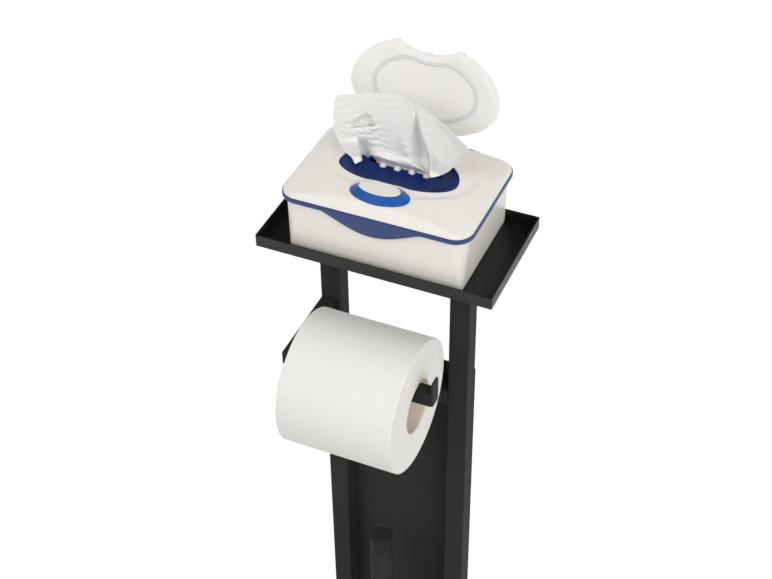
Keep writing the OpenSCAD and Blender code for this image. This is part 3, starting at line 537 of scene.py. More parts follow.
def tub_ears():
    """Four ears behind the tub: a knuckle round the lid's axis on a bracket from the wall."""
    parts = []
    for x in (-35, 35):
        for side in (-1, 1):
            mid = x + side * 8.3
            outline = np.concatenate([arc(LID_AXIS_Y, LID_AXIS_Z, 2.4, -np.pi / 2, np.pi * 0.9, 22),
                                      [[56.9, 48.0], [50.5, 48.0], [50.5, 43.4], [59.3, 43.4],
                                       [59.35, 47.5]]])
            parts.append(slab_x(outline, mid - 2, mid + 2))
    return parts


piece("wipes_tub", join(loft(tub_rings()), *tub_ears()), BOX, "tub",
      white_pp, ["tub"], bevel=0.25)

# %% [markdown]
# ## The blue rim
# The lid ends in a blue band with a smile-shaped tab for the fingers. The band is a profile
# carried round the box; the tab is lofted from side to side, one cross-section at a time.

# %% Rim and finger tab
def band():
    """Closed profile of (outset, height) round the opening, with its outer corners rounded by
    1.2 mm; each point of it is one rounded rectangle."""
    t = np.linspace(0, np.pi / 2, 5)
    out = [0.0, 0.0] + list(4.5 - 1.2 + 1.2 * np.sin(t)) + list(4.5 - 1.2 + 1.2 * np.cos(t))
    z = [RIM_H, 0.0] + list(1.2 - 1.2 * np.cos(t)) + list(RIM_H - 1.2 + 1.2 * np.sin(t))
    return loft(np.stack([ring_round_rect(150 + 2 * o, 101.5 + 2 * o, 11.9 + 0.78 * o, RIM_Z + h)
                          for o, h in zip(out, z)]), closed=True)


def tab():
    """Cross-sections (y, z) along x: 2 mm thick with a round lower edge, which hangs below the
    rim by 13 mm times a cosine to the power 1.15."""
    x = np.linspace(-40.6, 40.6, 61)
    drop = 13 * np.maximum(np.cos(np.pi * x / 82), 0) ** 1.15
    t = np.linspace(0, -np.pi, 9)
    y = np.concatenate([[1.0], np.cos(t), [-1.0]])
    z = np.concatenate([[0.0], 0.8 * np.sin(t), [0.0]])
    top, low = RIM_Z + 0.9, RIM_Z - drop + 0.8
    rings = np.zeros((len(x), len(y), 3))
    rings[..., 0] = x[:, None]
    rings[..., 1] = -BOX_D / 2 + 1.15 - y[None, :]
    rings[..., 2] = low[:, None] + z[None, :]
    rings[:, 0, 2] = rings[:, -1, 2] = top
    return loft(rings)


def lid_knuckles():
    """Two knuckles of the lid, each round the rear axis with a web to the band."""
    parts = []
    for x in (-35, 35):
        outline = np.concatenate([arc(LID_AXIS_Y, LID_AXIS_Z, 2.4, -np.pi * 0.85, np.pi * 0.85, 26),
                                  [[53.6, 51.85], [53.6, 49.65]]])
        parts.append(slab_x(outline, x - 6, x + 6))
    return parts


rim = piece("lid_band", join(band(), tab(), *lid_knuckles()), BOX, "lid",
            rim_pp, ["lid_rim"], smooth=40)

# %% [markdown]
# ## The lid
# The lid is a shallow dome whose sides slope down to the rim. Its height is a soft minimum of two
# numbers, the sphere above and the slope at the side, so the crease between them comes out
# rounded, as a mould makes it. A dish for the flap is pressed into the top, and holes are cut
# for the dispenser and for the button.

# %% Heights of the lid
DOME_TOP, DOME_R = 65.4, 382.0
SIDE_RUN = 0.63  # millimetres inwards for each millimetre that the lid's side rises
FLAP_AXIS_Y, FLAP_AXIS_Z = 47.5, 63.235
BUTTON_Y = -35.3


def dome(x, y, down=0.0):
    """Sphere of radius 382 mm whose top is 65.4 mm above the foot, lowered by down."""
    return DOME_TOP - DOME_R + np.sqrt((DOME_R - down) ** 2 - x ** 2 - y ** 2)


def in_lid(x, y):
    """Distance inside the lid's foot line."""
    return in_round_rect(x, y, 157.2, 108.7, 14.5)


def soft_min(a, b, k):
    """The smaller of a and b, rounded where they differ by less than k: less h squared over 4k,
    with h = k - |a - b|."""
    h = np.maximum(k - np.abs(a - b), 0)
    return np.minimum(a, b) - h ** 2 / (4 * k)


def in_flap(x, y, grow=0.0):
    """Distance inside the flap: an oval, less an oval bite round the button."""
    whole = in_oval(x, y - 9.2, 62.5 + grow, 42.2 + grow, 35.0 + grow)
    bite = in_oval(x, y - BUTTON_Y, 27.3 - grow, 14.0 - grow, 14.0 - grow)
    return np.minimum(whole, -bite)


def in_well(x, y, grow=0.0):
    """Distance inside the kidney of the dispenser well."""
    return in_kidney(x, y, 49.3 + grow, 22.3 + grow, 33.5 + grow, 2.4)


def in_recess(x, y):
    """Distance inside the notch in which the flap's hinge turns."""
    return in_round_rect(x, y - 46.0, 28.6, 9.2, 0.5)


def lid_top(x, y):
    """Soft smaller of dome and side slope, with the dish and the hinge notch pressed in. The
    dish's ramp stays low behind the button, where the flap's lug comes down."""
    side = LID_Z + np.maximum(in_lid(x, y), 0) / SIDE_RUN
    z = soft_min(dome(x, y), side, 3.0)
    ramp = 2.6 * (1 - ease((in_flap(x, y, 0.6) + 3.8) / 9.0))
    ramp = ramp * (1 - np.exp(-(x / 8) ** 4) * ease((y + 26) / 2))
    z = soft_min(z, dome(x, y, 2.4) + ramp, 1.0)
    return np.where(in_recess(x, y) > -0.01, np.minimum(z, 60.6), z)


def lid_under(x, y):
    """The inner side: the dome 1.8 mm lower, the slope 1.8 mm further in, under any dent."""
    side = LID_Z + (in_lid(x, y) - 1.8) / SIDE_RUN
    z = np.minimum(np.minimum(dome(x, y, 1.8), side), lid_top(x, y) - 1.7)
    return np.maximum(z, LID_Z)


print("lid top", round(float(lid_top(np.array(0.), np.array(-50.))), 2), "mm at its front crease")

# %% Lid shell
def in_lid_wall(x, y):
    """What stays of the lid: inside its foot line, outside the well's and the button's holes."""
    holes = np.maximum(in_well(x, y, 0.2), in_oval(x, y - BUTTON_Y, 24.6, 12.9, 12.9))
    return np.minimum(in_lid(x, y), -holes)


def flap_ears():
    """Two ears on the lid that hold the flap's pin."""
    ear = knuckle(FLAP_AXIS_Y, FLAP_AXIS_Z, 2.0, 59.2)
    return [slab_x(ear, x - 2, x + 2) for x in (-16.3, 16.3)]


def bridge_legs():
    """Two legs under the lid, down to the bar that carries the button's spring."""
    return [loft(np.stack([ring_round_rect(3.6, 8.0, 0.4, z, 2) + [x, BUTTON_Y, 0] for z in
                           (51.63, 61.0)])) for x in (-31, 31)]


piece("lid_shell_moulding", join(
    sheet(in_lid_wall, lid_top, lid_under, ((-78.6, 78.6), (-54.35, 54.35)), 0.85,
          creases=(in_recess,)),
    *flap_ears(), *bridge_legs()), BOX, "lid", white_pp, ["lid_shell"], smooth=32)

# %% [markdown]
# ## The dispenser
# Under the dome sits a navy trough with round ends. Its long slot lets one wipe through, and
# the row of half-round notches along the slot's front edge grips the wipe, so that it tears
# off from the next. The notches are part of the outline that cuts the sheet.

# %% Dispenser well
NOTCH_PITCH = 12.3


def in_slot(x, y):
    """Distance inside the slot: a bar 62 by 3.5 mm, joined with four capsules 7 mm wide."""
    bar = in_round_rect(x, y - 15.25, 62.0, 3.5, 0.8)
    near = (np.clip(np.round(x / NOTCH_PITCH - 0.5), -2, 1) + 0.5) * NOTCH_PITCH
    notch = 3.5 - np.hypot(x - near, np.minimum(y - 14.0, 0) + np.maximum(y - 15.5, 0))
    return np.maximum(bar, notch)


def trough(x, y, r):
    """Height of a trough of radius r, with round ends, about a level line 42.8 mm long."""
    along = np.maximum(np.abs(x) - 21.4, 0)
    return 98.4 - np.sqrt(np.maximum(r ** 2 - along ** 2 - (y - 5.6) ** 2, 1.0))


def bowl(x, y):
    """The trough's inner side, which reaches 13.5 mm below the top of the dome."""
    return trough(x, y, 46.5)


def well_top(x, y):
    """A flat rim 1.6 mm wide round the trough, and a flange that lies under the lid."""
    inside = in_well(x, y)
    z = np.where(inside > 1.59, np.minimum(bowl(x, y), dome(x, y, 2.6)), dome(x, y, 2.6))
    return np.where(inside < 0.05, dome(x, y, 4.22), z)


def well_under(x, y):
    """The trough 1.6 mm thicker, but not above the flange's lower side."""
    return np.minimum(np.minimum(trough(x, y, 48.1), dome(x, y, 5.8)), well_top(x, y) - 1.2)


def in_well_wall(x, y):
    """The well and its flange, less the slot."""
    return np.minimum(in_well(x, y, 2.5), -in_slot(x, y))


piece("dispenser_moulding", sheet(
    in_well_wall, well_top, well_under, ((-52.5, 52.5), (-26.5, 37.0)), 0.6,
    creases=(in_well, lambda x, y: in_well(x, y) - 1.6)),
    BOX, "lid", well_pp, ["dispenser_well"], smooth=35)

# %% [markdown]
# ## The flap
# The flap is cut from the same dome, so that it lies flush when it is shut. Inside it carries
# a thin ridge that seals the well, a lug for the button, and the knuckle of its hinge. It is
# made shut and then turned open about its pin by 102 degrees, as it stands in the photo.

# %% Flap
def ridge():
    """A low bead carried round the kidney, 3 mm wide and a third of a millimetre high, rounded;
    it is lower still at the back, where it lies over the lid."""
    t = round_angles(180)
    x = 43.2 * np.cos(t)
    y = np.where(np.sin(t) < 0, 26.5, 25.0) * np.sin(t)
    y = np.where(y < 0, y + 5.4 * np.exp(-(x / 13.6) ** 2) * -y / 26.5, y) + 7.8
    tangent = np.stack([np.roll(x, -1) - np.roll(x, 1), np.roll(y, -1) - np.roll(y, 1)], -1)
    normal = np.stack([tangent[:, 1], -tangent[:, 0]], -1) / np.linalg.norm(tangent, axis=1)[:, None]
    out = np.array([1.5, 1.1, 0.6, 0.0, -0.6, -1.1, -1.5])
    proud = np.array([-0.2, 0.08, 0.26, 0.34, 0.26, 0.08, -0.2])
    px = x[None] + out[:, None] * normal[None, :, 0]
    py = y[None] + out[:, None] * normal[None, :, 1]
    low = np.where(py > 29, 0.5, 1.0)
    return loft(np.stack([px, py, dome(px, py, 2.0) - proud[:, None] * low], -1), closed=True)


def block(x, y, z, r=0.3):
    """A box with rounded upright edges between the ends of x, y and z."""
    ring = ring_round_rect(x[1] - x[0], y[1] - y[0], r, 0.0, 3)
    mid = np.array([sum(x) / 2, sum(y) / 2, 0])
    return loft(np.stack([ring + mid + [0, 0, h] for h in z]))


def flap_parts():
    """Domed plate, 2 mm thick and thinner towards its edge, with ridge, catch lug, heel and
    knuckle, all shut."""
    plate = sheet(in_flap, lambda x, y: dome(x, y) - 0.02,
                  lambda x, y: dome(x, y, 2.0) + 1.25 * (1 - ease(in_flap(x, y) / 7)),
                  ((-62.5, 62.5), (-33.0, 44.2)), 0.9)
    barrel = slab_x(arc(FLAP_AXIS_Y, FLAP_AXIS_Z, 2.0, 0, 2 * np.pi, 33)[:-1], -14, 14)
    heel = block((-14, 14), (41.6, FLAP_AXIS_Y), (61.25, 63.2))
    lug = block((-3, 3), (-22.4, -20.4), (62.8, 64.2), 0.4)
    return join(plate, ridge(), lug, heel, barrel)


def open_flap(part, degrees):
    """Turns points about the pin's line along X, front edge upwards."""
    points, faces = part
    a = -math.radians(degrees)
    y, z = points[:, 1] - FLAP_AXIS_Y, points[:, 2] - FLAP_AXIS_Z
    return np.stack([points[:, 0], FLAP_AXIS_Y + y * math.cos(a) - z * math.sin(a),
                     FLAP_AXIS_Z + y * math.sin(a) + z * math.cos(a)], -1), faces


piece("flap_moulding", open_flap(flap_parts(), 102), BOX, "flap",
      flap_pp, ["flap"], smooth=40, bevel=0.35)

# %% [markdown]
# ## The button
# The button is an oval cone with a white cap. Pressing it frees the flap. Its flank is lofted
# between two ovals, with the upper edge rounded, and its skirt goes down through the lid to
# two hooks that keep it in.

# %% Button and cap
def oval_ring(a, b, z, n=72):
    """Oval with half axes a and b at height z, in the button's place."""
    t = round_angles(n)
    return np.stack([a * np.cos(t), b * np.sin(t) + BUTTON_Y, np.full(n, z)], -1)


BUTTON_Z = float(dome(0.0, BUTTON_Y)) - 1.2
flank = np.stack([oval_ring(24.1, 12.4, BUTTON_Z - 2.9), oval_ring(24.1, 12.4, BUTTON_Z + 0.05),
                  oval_ring(24.3, 12.6, BUTTON_Z + 0.1), oval_ring(24.1, 12.4, BUTTON_Z + 0.5)]
                 + [oval_ring(24.1 - 6.8 * s, 12.4 - 4.1 * s, BUTTON_Z + 0.5 + 4.2 * s)
                    for s in np.linspace(0.12, 1, 6)]
                 + [oval_ring(17.0, 8.1, BUTTON_Z + 5.1), oval_ring(16.6, 7.8, BUTTON_Z + 5.2)])
hooks = block((-26.5, 26.5), (-37.5, -33.1), (BUTTON_Z - 3.0, BUTTON_Z - 2.0))
piece("push_button", join(loft(flank), hooks), BOX, "button",
      button_pp, ["button"], smooth=50)
cap_rings = np.stack([oval_ring(16.9, 8.0, BUTTON_Z + 5.21), oval_ring(17.0, 8.1, BUTTON_Z + 5.6),
                      oval_ring(16.7, 7.8, BUTTON_Z + 5.85)]
                     + [oval_ring(16.7 * s, 7.8 * s, BUTTON_Z + 6.0 - 0.1 * s ** 2)
                        for s in (0.9, 0.7, 0.5, 0.3, 0.1)])
piece("button_cap_moulding", loft(cap_rings), BOX, "button", white_pp,
      ["button_cap"], smooth=60)

# %% [markdown]
# ## The folded wipes
# Inside the tub lies a pad of folded wipes. Each layer is a flat pillow with a soft edge, a
# little out of line with the one below, as folded sheets settle.

# %% Folded wipes
def folded_pad(layers=12, height=30.0):
    """Stack of pillows: each is a ring of half-round edges whose size and place wander by up to
    half a millimetre, drawn from a fixed seed."""
    rng = np.random.default_rng(7)
    each = height / layers
    parts = []
    for k in range(layers):
        z0 = 3.2 + k * each
        dx, dy, dw, dd = rng.uniform(-0.5, 0.5, 4)
        t = np.linspace(0, np.pi, 7)
        inset = [40.0, 12.0] + list(each / 2 * (1 - np.sin(t))) + [12.0, 40.0]
        level = [0.02, 0.02] + list(each / 2 * (1 - np.cos(t)) * 0.985 + 0.02) + [each, each]
        rings = [ring_round_rect(130.6 + dw - 2 * i, 86.6 + dd - 2 * i, max(11 - 0.3 * i, 1.0),
                                 z0 + h, 8) + [dx, dy, 0] for i, h in zip(inset, level)]
        rings = np.stack(rings)
        rings[..., 2] += 0.12 * np.sin(rings[..., 0] / 9 + k) * np.sin(rings[..., 1] / 7 + 2 * k)
        parts.append(loft(rings))
    return join(*parts)


stack = piece("folded_wipes", folded_pad(), BOX, "tub", fleece, ["wipes_stack"],
              smooth=60)

# %% [markdown]
# ## The drawn wipe
# One damp wipe stands up through the slot, gathered at the bottom and spread at the top like
# a fan. It is drawn first as a smooth upright surface that bows back in the middle. Rays run
# over it from the slot to the cloth's edge. Folds then move its points forwards or backwards
# along one direction. A fold whose one side drops at once is a layer that lies over the next.

# %% Edge of the wipe
def spline(points, n):
    """Smooth curve through control points: Catmull-Rom, sampled evenly by length."""
    p = np.asarray(points, float)
    p = np.vstack([2 * p[0] - p[1], p, 2 * p[-1] - p[-2]])
    t = np.linspace(0, 1, 24, endpoint=False)[:, None]
    parts = []
    for a, b, c, d in zip(p[:-3], p[1:-2], p[2:-1], p[3:]):
        parts.append(0.5 * (2 * b + (c - a) * t + (2 * a - 5 * b + 4 * c - d) * t ** 2
                            + (3 * b - a - 3 * c + d) * t ** 3))
    curve = np.vstack(parts + [p[-2:-1]])
    run = np.concatenate([[0], np.cumsum(np.linalg.norm(np.diff(curve, axis=0), axis=1))])
    at = np.linspace(0, run[-1], n)
    return np.stack([np.interp(at, run, curve[:, k]) for k in range(curve.shape[1])], -1)


# Points (across, up) of the edge, from the slot's left over the two tips, the top and the right
WIPE_EDGE = [(-28.5, 62.0), (-32.3, 60.5), (-36.0, 56.6), (-39.2, 52.6), (-42.0, 58.5), (-46.0, 63.8),
             (-49.9, 73.0), (-52.8, 83.0), (-53.8, 93.5), (-53.2, 104), (-51.0, 115.4), (-44.5, 116.8),
             (-37.7, 117.7), (-27.6, 119.1), (-17, 120.3), (-9.2, 120.9), (-2.5, 119.8), (8, 115.9),
             (15.8, 113.8), (24.7, 110.6), (31.3, 108.1), (36.3, 106.2), (46.5, 103.1), (52, 101.9),
             (58.6, 100.3), (56.0, 95.0), (50.5, 84.6), (44.6, 75.2), (39.5, 67.4), (31.1, 58.9),
             (22.5, 53.2), (17.8, 52.8), (16.8, 57.0)]
edge = spline(WIPE_EDGE, 520)
print("edge of the wipe is", round(float(np.linalg.norm(np.diff(edge, axis=0), axis=1).sum())), "mm long")


# %% Folds of the wipe
TOWARDS = np.array([0.323, -0.757, 0.568])


def mound(x, z, cx, cz, sx, sz, turn=0.0):
    """Bell of height one about (cx, cz), sx wide and sz high, turned by an angle in degrees."""
    a = math.radians(turn)
    p, q = (x - cx) * math.cos(a) + (z - cz) * math.sin(a), (z - cz) * math.cos(a) - (x - cx) * math.sin(a)
    return np.exp(-(p / sx) ** 2 - (q / sz) ** 2)


def layer_right(x, z):
    """The right layer ends in a free edge that runs from the top down to the slot. It stands out
    by up to 9.5 mm and sinks back to the right; beside it lies a channel up to 12 mm deep, flat for
    its first third and rising smoothly after it."""
    line = np.interp(z, [61, 66, 72, 80.6, 87, 95, 104, 109, 116],
                     [20.7, 20.8, 20.4, 17.6, 14.8, 12.2, 10.5, 9.2, 8.0])
    side = x - line
    out = np.interp(z, [55, 62, 75, 83, 93, 100, 112], [9.5, 8.5, 7.0, 5.5, 3.2, 1.6, 0.0])
    deep = np.interp(z, [55, 62, 68, 75, 83, 93, 100, 112], [3.0, 7.0, 11.5, 12.0, 10.5, 7.0, 3.5, 0.0])
    wide = np.interp(z, [60, 72, 83, 93, 105], [17, 16, 13, 8, 3])
    right = out * (0.45 + 0.55 * np.exp(-(side / 16) ** 2)) * np.exp(-(np.maximum(side, 0) / 42) ** 4)
    left = -deep * (1 - ease((-side / wide - 0.3) / 0.7))
    cut = ease(side / 0.9 + 0.5)
    return right * cut + left * (1 - cut)


def layer_left(x, z):
    """A tent-shaped hollow under the top left, a sharp crease below it with a rolled lip, a second
    hollow under that lip, and the left lobe, whose free edge lies before the deepest part."""
    crease = 86.2 + (x + 35.5) * 0.226 + 0.6 * np.sin((x + 46) / 5)
    up = np.clip((103.0 - z) / np.maximum(103.0 - crease, 1), 0, 1)
    left, right = -30.8 - 15.4 * up ** 0.9, -30.8 + 8.5 * up ** 0.6
    across = np.clip((x - left) / np.maximum(right - left, 0.5), 0, 1)
    tent = ease(up / 0.4) * ease((x - left) / (1.5 + 7 * up)) * ease((right - x) / 3.2)
    tent = -(2.5 + 7.5 * up) * tent * (0.6 + 0.4 * across) * ease((z - crease) / 1.3)
    band = ease((x + 49) / 6) * ease((-19 - x) / 8)
    bulge = 1.3 * np.exp(-((z - crease + 1.8) / 2.4) ** 2) * band
    side = x + 37.4 - (76 - z) * 0.13
    low = ease((79 - z) / 7)
    lobe = 3.5 * np.exp(-(side / 12) ** 2) * low
    dark = -(5.0 + 4.5 * ease((76 - z) / 6)) * np.exp(-(np.maximum(side, 0) / 8) ** 3) * low
    cut = ease(side / (0.9 + 3 * ease((z - 72) / 8)) + 0.5)
    return tent + bulge + lobe * (1 - cut) + dark * cut


def crinkles(x, z):
    """Fine wrinkles: seeded waves of 2.6 to 8 mm, most of them where the cloth was crushed."""
    rng = np.random.default_rng(3)
    total = np.zeros_like(x)
    for _ in range(26):
        length, turn, phase = rng.uniform(2.6, 8), rng.normal(1.75, 0.35), rng.uniform(0, 6.28)
        k = 2 * np.pi / length
        wander = 1.3 * np.sin(x / 7 + phase) + 1.1 * np.sin(z / 6 + 2 * phase)
        total = total + length * 0.012 * np.sin(k * (x * math.cos(turn) + z * math.sin(turn) + wander))
    where = 0.22 + 2.0 * mound(x, z, -33, 84, 11, 13) + 0.8 * mound(x, z, -10, 66, 16, 8)
    return total * where


def folds(x, z):
    """All folds together: broad soft ones, the two layers and the wrinkles."""
    soft = (2.6 * mound(x, z, 1.0, 68, 4.5, 15, 14) + 1.6 * mound(x, z, -14, 100, 12, 22, 8)
            - 1.2 * ease((69 - z) / 12) * mound(x, z, -13, 60, 14, 30)
            + 1.4 * mound(x, z, -47, 98, 6, 18, 4) - 1.0 * mound(x, z, 40, 97, 16, 5, -32)
            + 1.0 * mound(x, z, 30, 74, 9, 12, -30) - 1.2 * mound(x, z, 24, 66, 2.2, 7, -12))
    return soft + layer_right(x, z) + layer_left(x, z) + crinkles(x, z)


# %% Drawn wipe
def wipe_surface(rows=520, cols=110):
    """Fan: foot(u) + (edge(u) - foot(u)) v in the upright plane, set back to y = 15 less 17 times
    (x/56) squared, and then moved by the folds, which fade in over the first seventh of a ray."""
    v = np.linspace(0, 1, cols)[None, :]
    t = np.linspace(0, 1, rows)
    low = np.interp(t, [0, 0.3, 0.7, 0.88, 1], [62.6, 58.4, 56.6, 57.2, 56.0])
    foot = np.stack([-28.0 + 46.0 * t, low], -1)
    flat = foot[:, None] + (edge - foot)[:, None] * v[..., None]
    x, z = flat[..., 0], flat[..., 1]
    s = np.stack([x, 15.0 - 17.0 * (x / 56) ** 2, z], -1)
    push = 5.0 + (folds(x, z) - 5.0) * ease(v / 0.14)
    push = push + 1.8 * np.exp(-((v - 0.055) / 0.035) ** 2) * ease((x + 8) / 8) * ease((19 - x) / 3)
    lobe = 5.0 * ease((60 - z) / 8) * ease((np.abs(x - 1) - 14) / 6)
    return s + (push + lobe)[..., None] * TOWARDS


fan = wipe_surface()
print("wipe reaches from", fan.reshape(-1, 3).min(0).round(1), "to", fan.reshape(-1, 3).max(0).round(1))


# %% The wipe as a thin closed sheet
def thin_sheet(grid, thickness):
    """Two copies of a grid of points, half the thickness to either side along its normals, with
    a strip round the border: rows and columns keep their order."""
    normal = np.cross(np.gradient(grid, axis=0), np.gradient(grid, axis=1))
    normal /= np.maximum(np.linalg.norm(normal, axis=-1, keepdims=True), 1e-9)
    rows, cols = grid.shape[:2]
    front, back = grid + normal * thickness / 2, grid - normal * thickness / 2
    quads = grid_quads(rows, cols)
    n = rows * cols
    index = np.arange(n).reshape(rows, cols)
    loop = np.concatenate([index[0, :-1], index[:-1, -1], index[-1, :0:-1], index[:0:-1, 0]])
    strip = np.stack([loop, np.roll(loop, -1), np.roll(loop, -1) + n, loop + n], -1)
    points = np.concatenate([front.reshape(-1, 3), back.reshape(-1, 3)])
    return points, np.concatenate([quads, quads[:, ::-1] + n, strip]).tolist()


def tail(top, cols=40):
    """The gathered neck: eased from the fan's foot back to the slot's rear edge, and from there
    down to the folded wipes in pleats that deepen. Its first column is the fan's own."""
    t, v = np.linspace(0, 1, len(top))[:, None], np.linspace(0, 1, cols)[None, :]
    deep = np.clip((v - 0.3) / 0.7, 0, 1)
    down = np.stack([-25.5 + 43.5 * t + 0 * v, 16.6 + np.sin(53 * t) * (0.2 + 3.4 * deep) - 0.9 * deep,
                     52.6 - 18.4 * deep + 0 * t], -1)
    part = ease(v / 0.3)[..., None]
    return top[:, None] * (1 - part) + down * part


def pokes(rows=170, cols=24):
    """A strip of the same cloth before the neck, deep under the slot's front edge, that rises
    through the four round notches as small bulges with steep sides."""
    t, v = np.linspace(0, 1, rows)[:, None], np.linspace(0, 1, cols)[None, :]
    x = -25.5 + 48 * t + 0 * v
    y = 15.9 - 5.6 * v + 0 * t
    z = bowl(x, y) - 9.0 + 0 * t
    for mid in NOTCH_PITCH * np.array([-1.5, -0.5, 0.5, 1.5]):
        z = z + 11.0 * np.exp(-(np.abs(x - mid) / 3.1) ** 5 - (np.abs(y - 12.7) / 2.6) ** 5)
    return np.stack([x, y, z], -1)


wipe = piece("drawn_wipe_cloth", join(thin_sheet(fan, 0.5), thin_sheet(tail(fan[:, 0]), 0.5),
                                      thin_sheet(pokes(), 0.4)),
             BOX, "lid", fleece, ["drawn_wipe"], smooth=75)
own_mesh(wipe)

# %% [markdown]
# ## The paper roll
# The roll is a profile turned round its own axis: out along one end, over the embossed outer
# sheet and back along the other end. The winding is never quite round, so the radius wanders
# a little, and each end shows slight steps where the layers moved sideways.

# %% Paper roll
ROLL_R = 56.2


def turned(x, radius, angles):
    """Points at the places x and the radii, carried round the X axis through the angles."""
    return np.stack([x + 0 * angles, radius * np.cos(angles), radius * np.sin(angles)], -1)


def roll_rings(n=256):
    """Profile (along, radius) turned about X. Two slow waves in the angle take up to 0.2 mm off
    its radius, and ends move by sines of the radius, so that layers stand proud of each other."""
    half, corner = 49.4, 1.2
    r = np.linspace(23.75, ROLL_R - corner, 46)
    t = np.linspace(0, np.pi / 2, 6)
    ends = 0.14 * np.sin(r * 0.9) + 0.05 * np.sin(r * 2.3 + 1) + 0.03 * np.sin(r * 5.1 + 2)
    left = [(-half + 0.35 + e, q) for e, q in zip(ends, r)]
    left += [(-half + 0.35 + corner * (1 - math.cos(a)), ROLL_R - corner + corner * math.sin(a))
             for a in t]
    side = [(x, ROLL_R) for x in np.linspace(-half + 2.2, half - 2.2, 60)]
    right_end = [(-x, q) for x, q in reversed(left)]
    profile = np.array(left + side + right_end)
    a = round_angles(n)
    out = 1 + (0.0022 * np.sin(2 * a + 0.6) + 0.0014 * np.sin(3 * a + 2))
    radius = profile[:, 1:2] * np.where(profile[:, 1:2] > 40, out[None, :], 1.0)
    return turned(profile[:, :1], np.minimum(radius, ROLL_R), a), profile


rings, profile = roll_rings()
roll = piece("tissue_roll", loft(rings, closed=True), ROLL, "roll", paper,
             ["paper_roll"], smooth=60, weld=False)
roll.data.materials.append(paper_end)

# %% Sheet map and end faces of the roll
def map_roll(obj, cols):
    """UV in metres: u is the way round at the outer radius, v the way along; faces where
    the profile climbs steeply, at the ends, get the second material."""
    mesh = obj.data
    corner = np.zeros(len(mesh.loops), np.int32)
    mesh.loops.foreach_get("vertex_index", corner)
    row, col = corner // cols, corner % cols
    wraps = (np.abs(col.reshape(-1, 4) - col.reshape(-1, 4)[:, :1]) > cols / 2)
    u = col.reshape(-1, 4) + np.where(wraps & (col.reshape(-1, 4) < cols / 2), cols, 0)
    u = u.ravel() / cols * 2 * math.pi * ROLL_R * 0.001
    along = profile[:, 0][row] * 0.001
    uv = mesh.uv_layers.new(name="sheet")
    uv.data.foreach_set("uv", np.stack([u, along], -1).astype(np.float32).ravel())
    steep = np.abs(np.gradient(profile[:, 1])) > 0.45
    ends = steep[row.reshape(-1, 4)].mean(1) > 0.6
    mesh.polygons.foreach_set("material_index", ends.astype(np.int32))
    print("end faces:", int(ends.sum()), "of", len(mesh.polygons))


map_roll(roll, rings.shape[1])

# %% Cardboard core
def core_rings(n=96):
    """Tube from 22.5 to 23.7 mm, about as wide as the roll, with its edges broken by 0.2 mm."""
    profile = np.array([(-49.2, 22.5), (-49.4, 22.7), (-49.4, 23.5), (-49.2, 23.7), (49.2, 23.7),
                        (49.4, 23.5), (49.4, 22.7), (49.2, 22.5)])
    profile = np.vstack([profile[:4], np.column_stack([np.linspace(-48, 48, 9), np.full(9, 23.7)]),
                         profile[4:], np.column_stack([np.linspace(48, -48, 9), np.full(9, 22.5)])])
    return turned(profile[:, :1], profile[:, 1:], round_angles(n))


piece("cardboard_core", loft(core_rings(), closed=True), ROLL, "roll", board,
      ["roll_core"], smooth=50)

# %% [markdown]
# ## The bristles
# A brush head has tufts of stiff nylon that fan out from a core. Each bristle is a thin
# three-sided spike, a little bent; more than a thousand of them share one small pattern of points
# that is copied with numpy and turned to its own direction.

# %% Bristles
def bristle_head(rows=34, around=40):
    """Spikes from radius 9.6 to 33.9 mm at most: ring by ring, every other one half a step
    further round, with tips spread a little wider along the core than their roots; three corners
    at the root and the middle, one at the tip."""
    rng = np.random.default_rng(11)
    j = np.repeat(np.arange(rows), around)
    a = (np.tile(np.arange(around), rows) + 0.5 * (j % 2)) / around * 2 * np.pi
    a = a + rng.normal(0, 0.02, len(a))
    z0 = 14.8 + 10.4 + j * (65.2 / (rows - 1)) * 0.995
    share = (z0 - 57.8) / 33
    tip_r = 33.9 * np.sqrt(1 - 0.45 * np.abs(share) ** 2.6) - rng.uniform(0, 0.8, len(a))
    z1 = 57.8 + share * 35.5 + rng.normal(0, 0.4, len(a))
    z1 = np.clip(z1, 20.5, 94.5)
    out = np.stack([np.cos(a), np.sin(a)], -1)
    side = np.stack([-np.sin(a), np.cos(a)], -1)
    k = np.arange(3) / 3 * 2 * np.pi
    points = np.zeros((len(a), 7, 3))
    for row, (r, z, w) in enumerate(((np.full(len(a), 9.6), z0, 0.42),
                                     ((9.6 + tip_r) / 2, (z0 * 0.55 + z1 * 0.45), 0.36))):
        points[:, 3 * row:3 * row + 3, :2] = (out[:, None] * r[:, None, None]
                                              + side[:, None] * (w * np.cos(k))[None, :, None])
        points[:, 3 * row:3 * row + 3, 2] = z[:, None] + w * np.sin(k)[None]
    points[:, 6, :2], points[:, 6, 2] = out * tip_r[:, None], z1
    pattern = [[2, 1, 0], [0, 1, 4, 3], [1, 2, 5, 4], [2, 0, 3, 5], [3, 4, 6], [4, 5, 6], [5, 3, 6]]
    starts = np.arange(len(a)) * 7
    faces = [[v + s for v in f] for s in starts.tolist() for f in pattern]
    return points.reshape(-1, 3), faces


def sleeve():
    """The moulded sleeve that the bristles grow from."""
    t = round_angles(48)
    profile = [(10.1, 24.9), (11.6, 25.0), (11.7, 25.3), (11.7, 90.3), (11.6, 90.6), (10.1, 90.7)]
    return loft(np.stack([np.stack([r * np.cos(t), r * np.sin(t), np.full(48, z)], -1)
                          for r, z in profile]), closed=True)


piece("bristle_head", join(bristle_head(), sleeve()), BRUSH, "brush",
      nylon, ["bristles"], smooth=60)
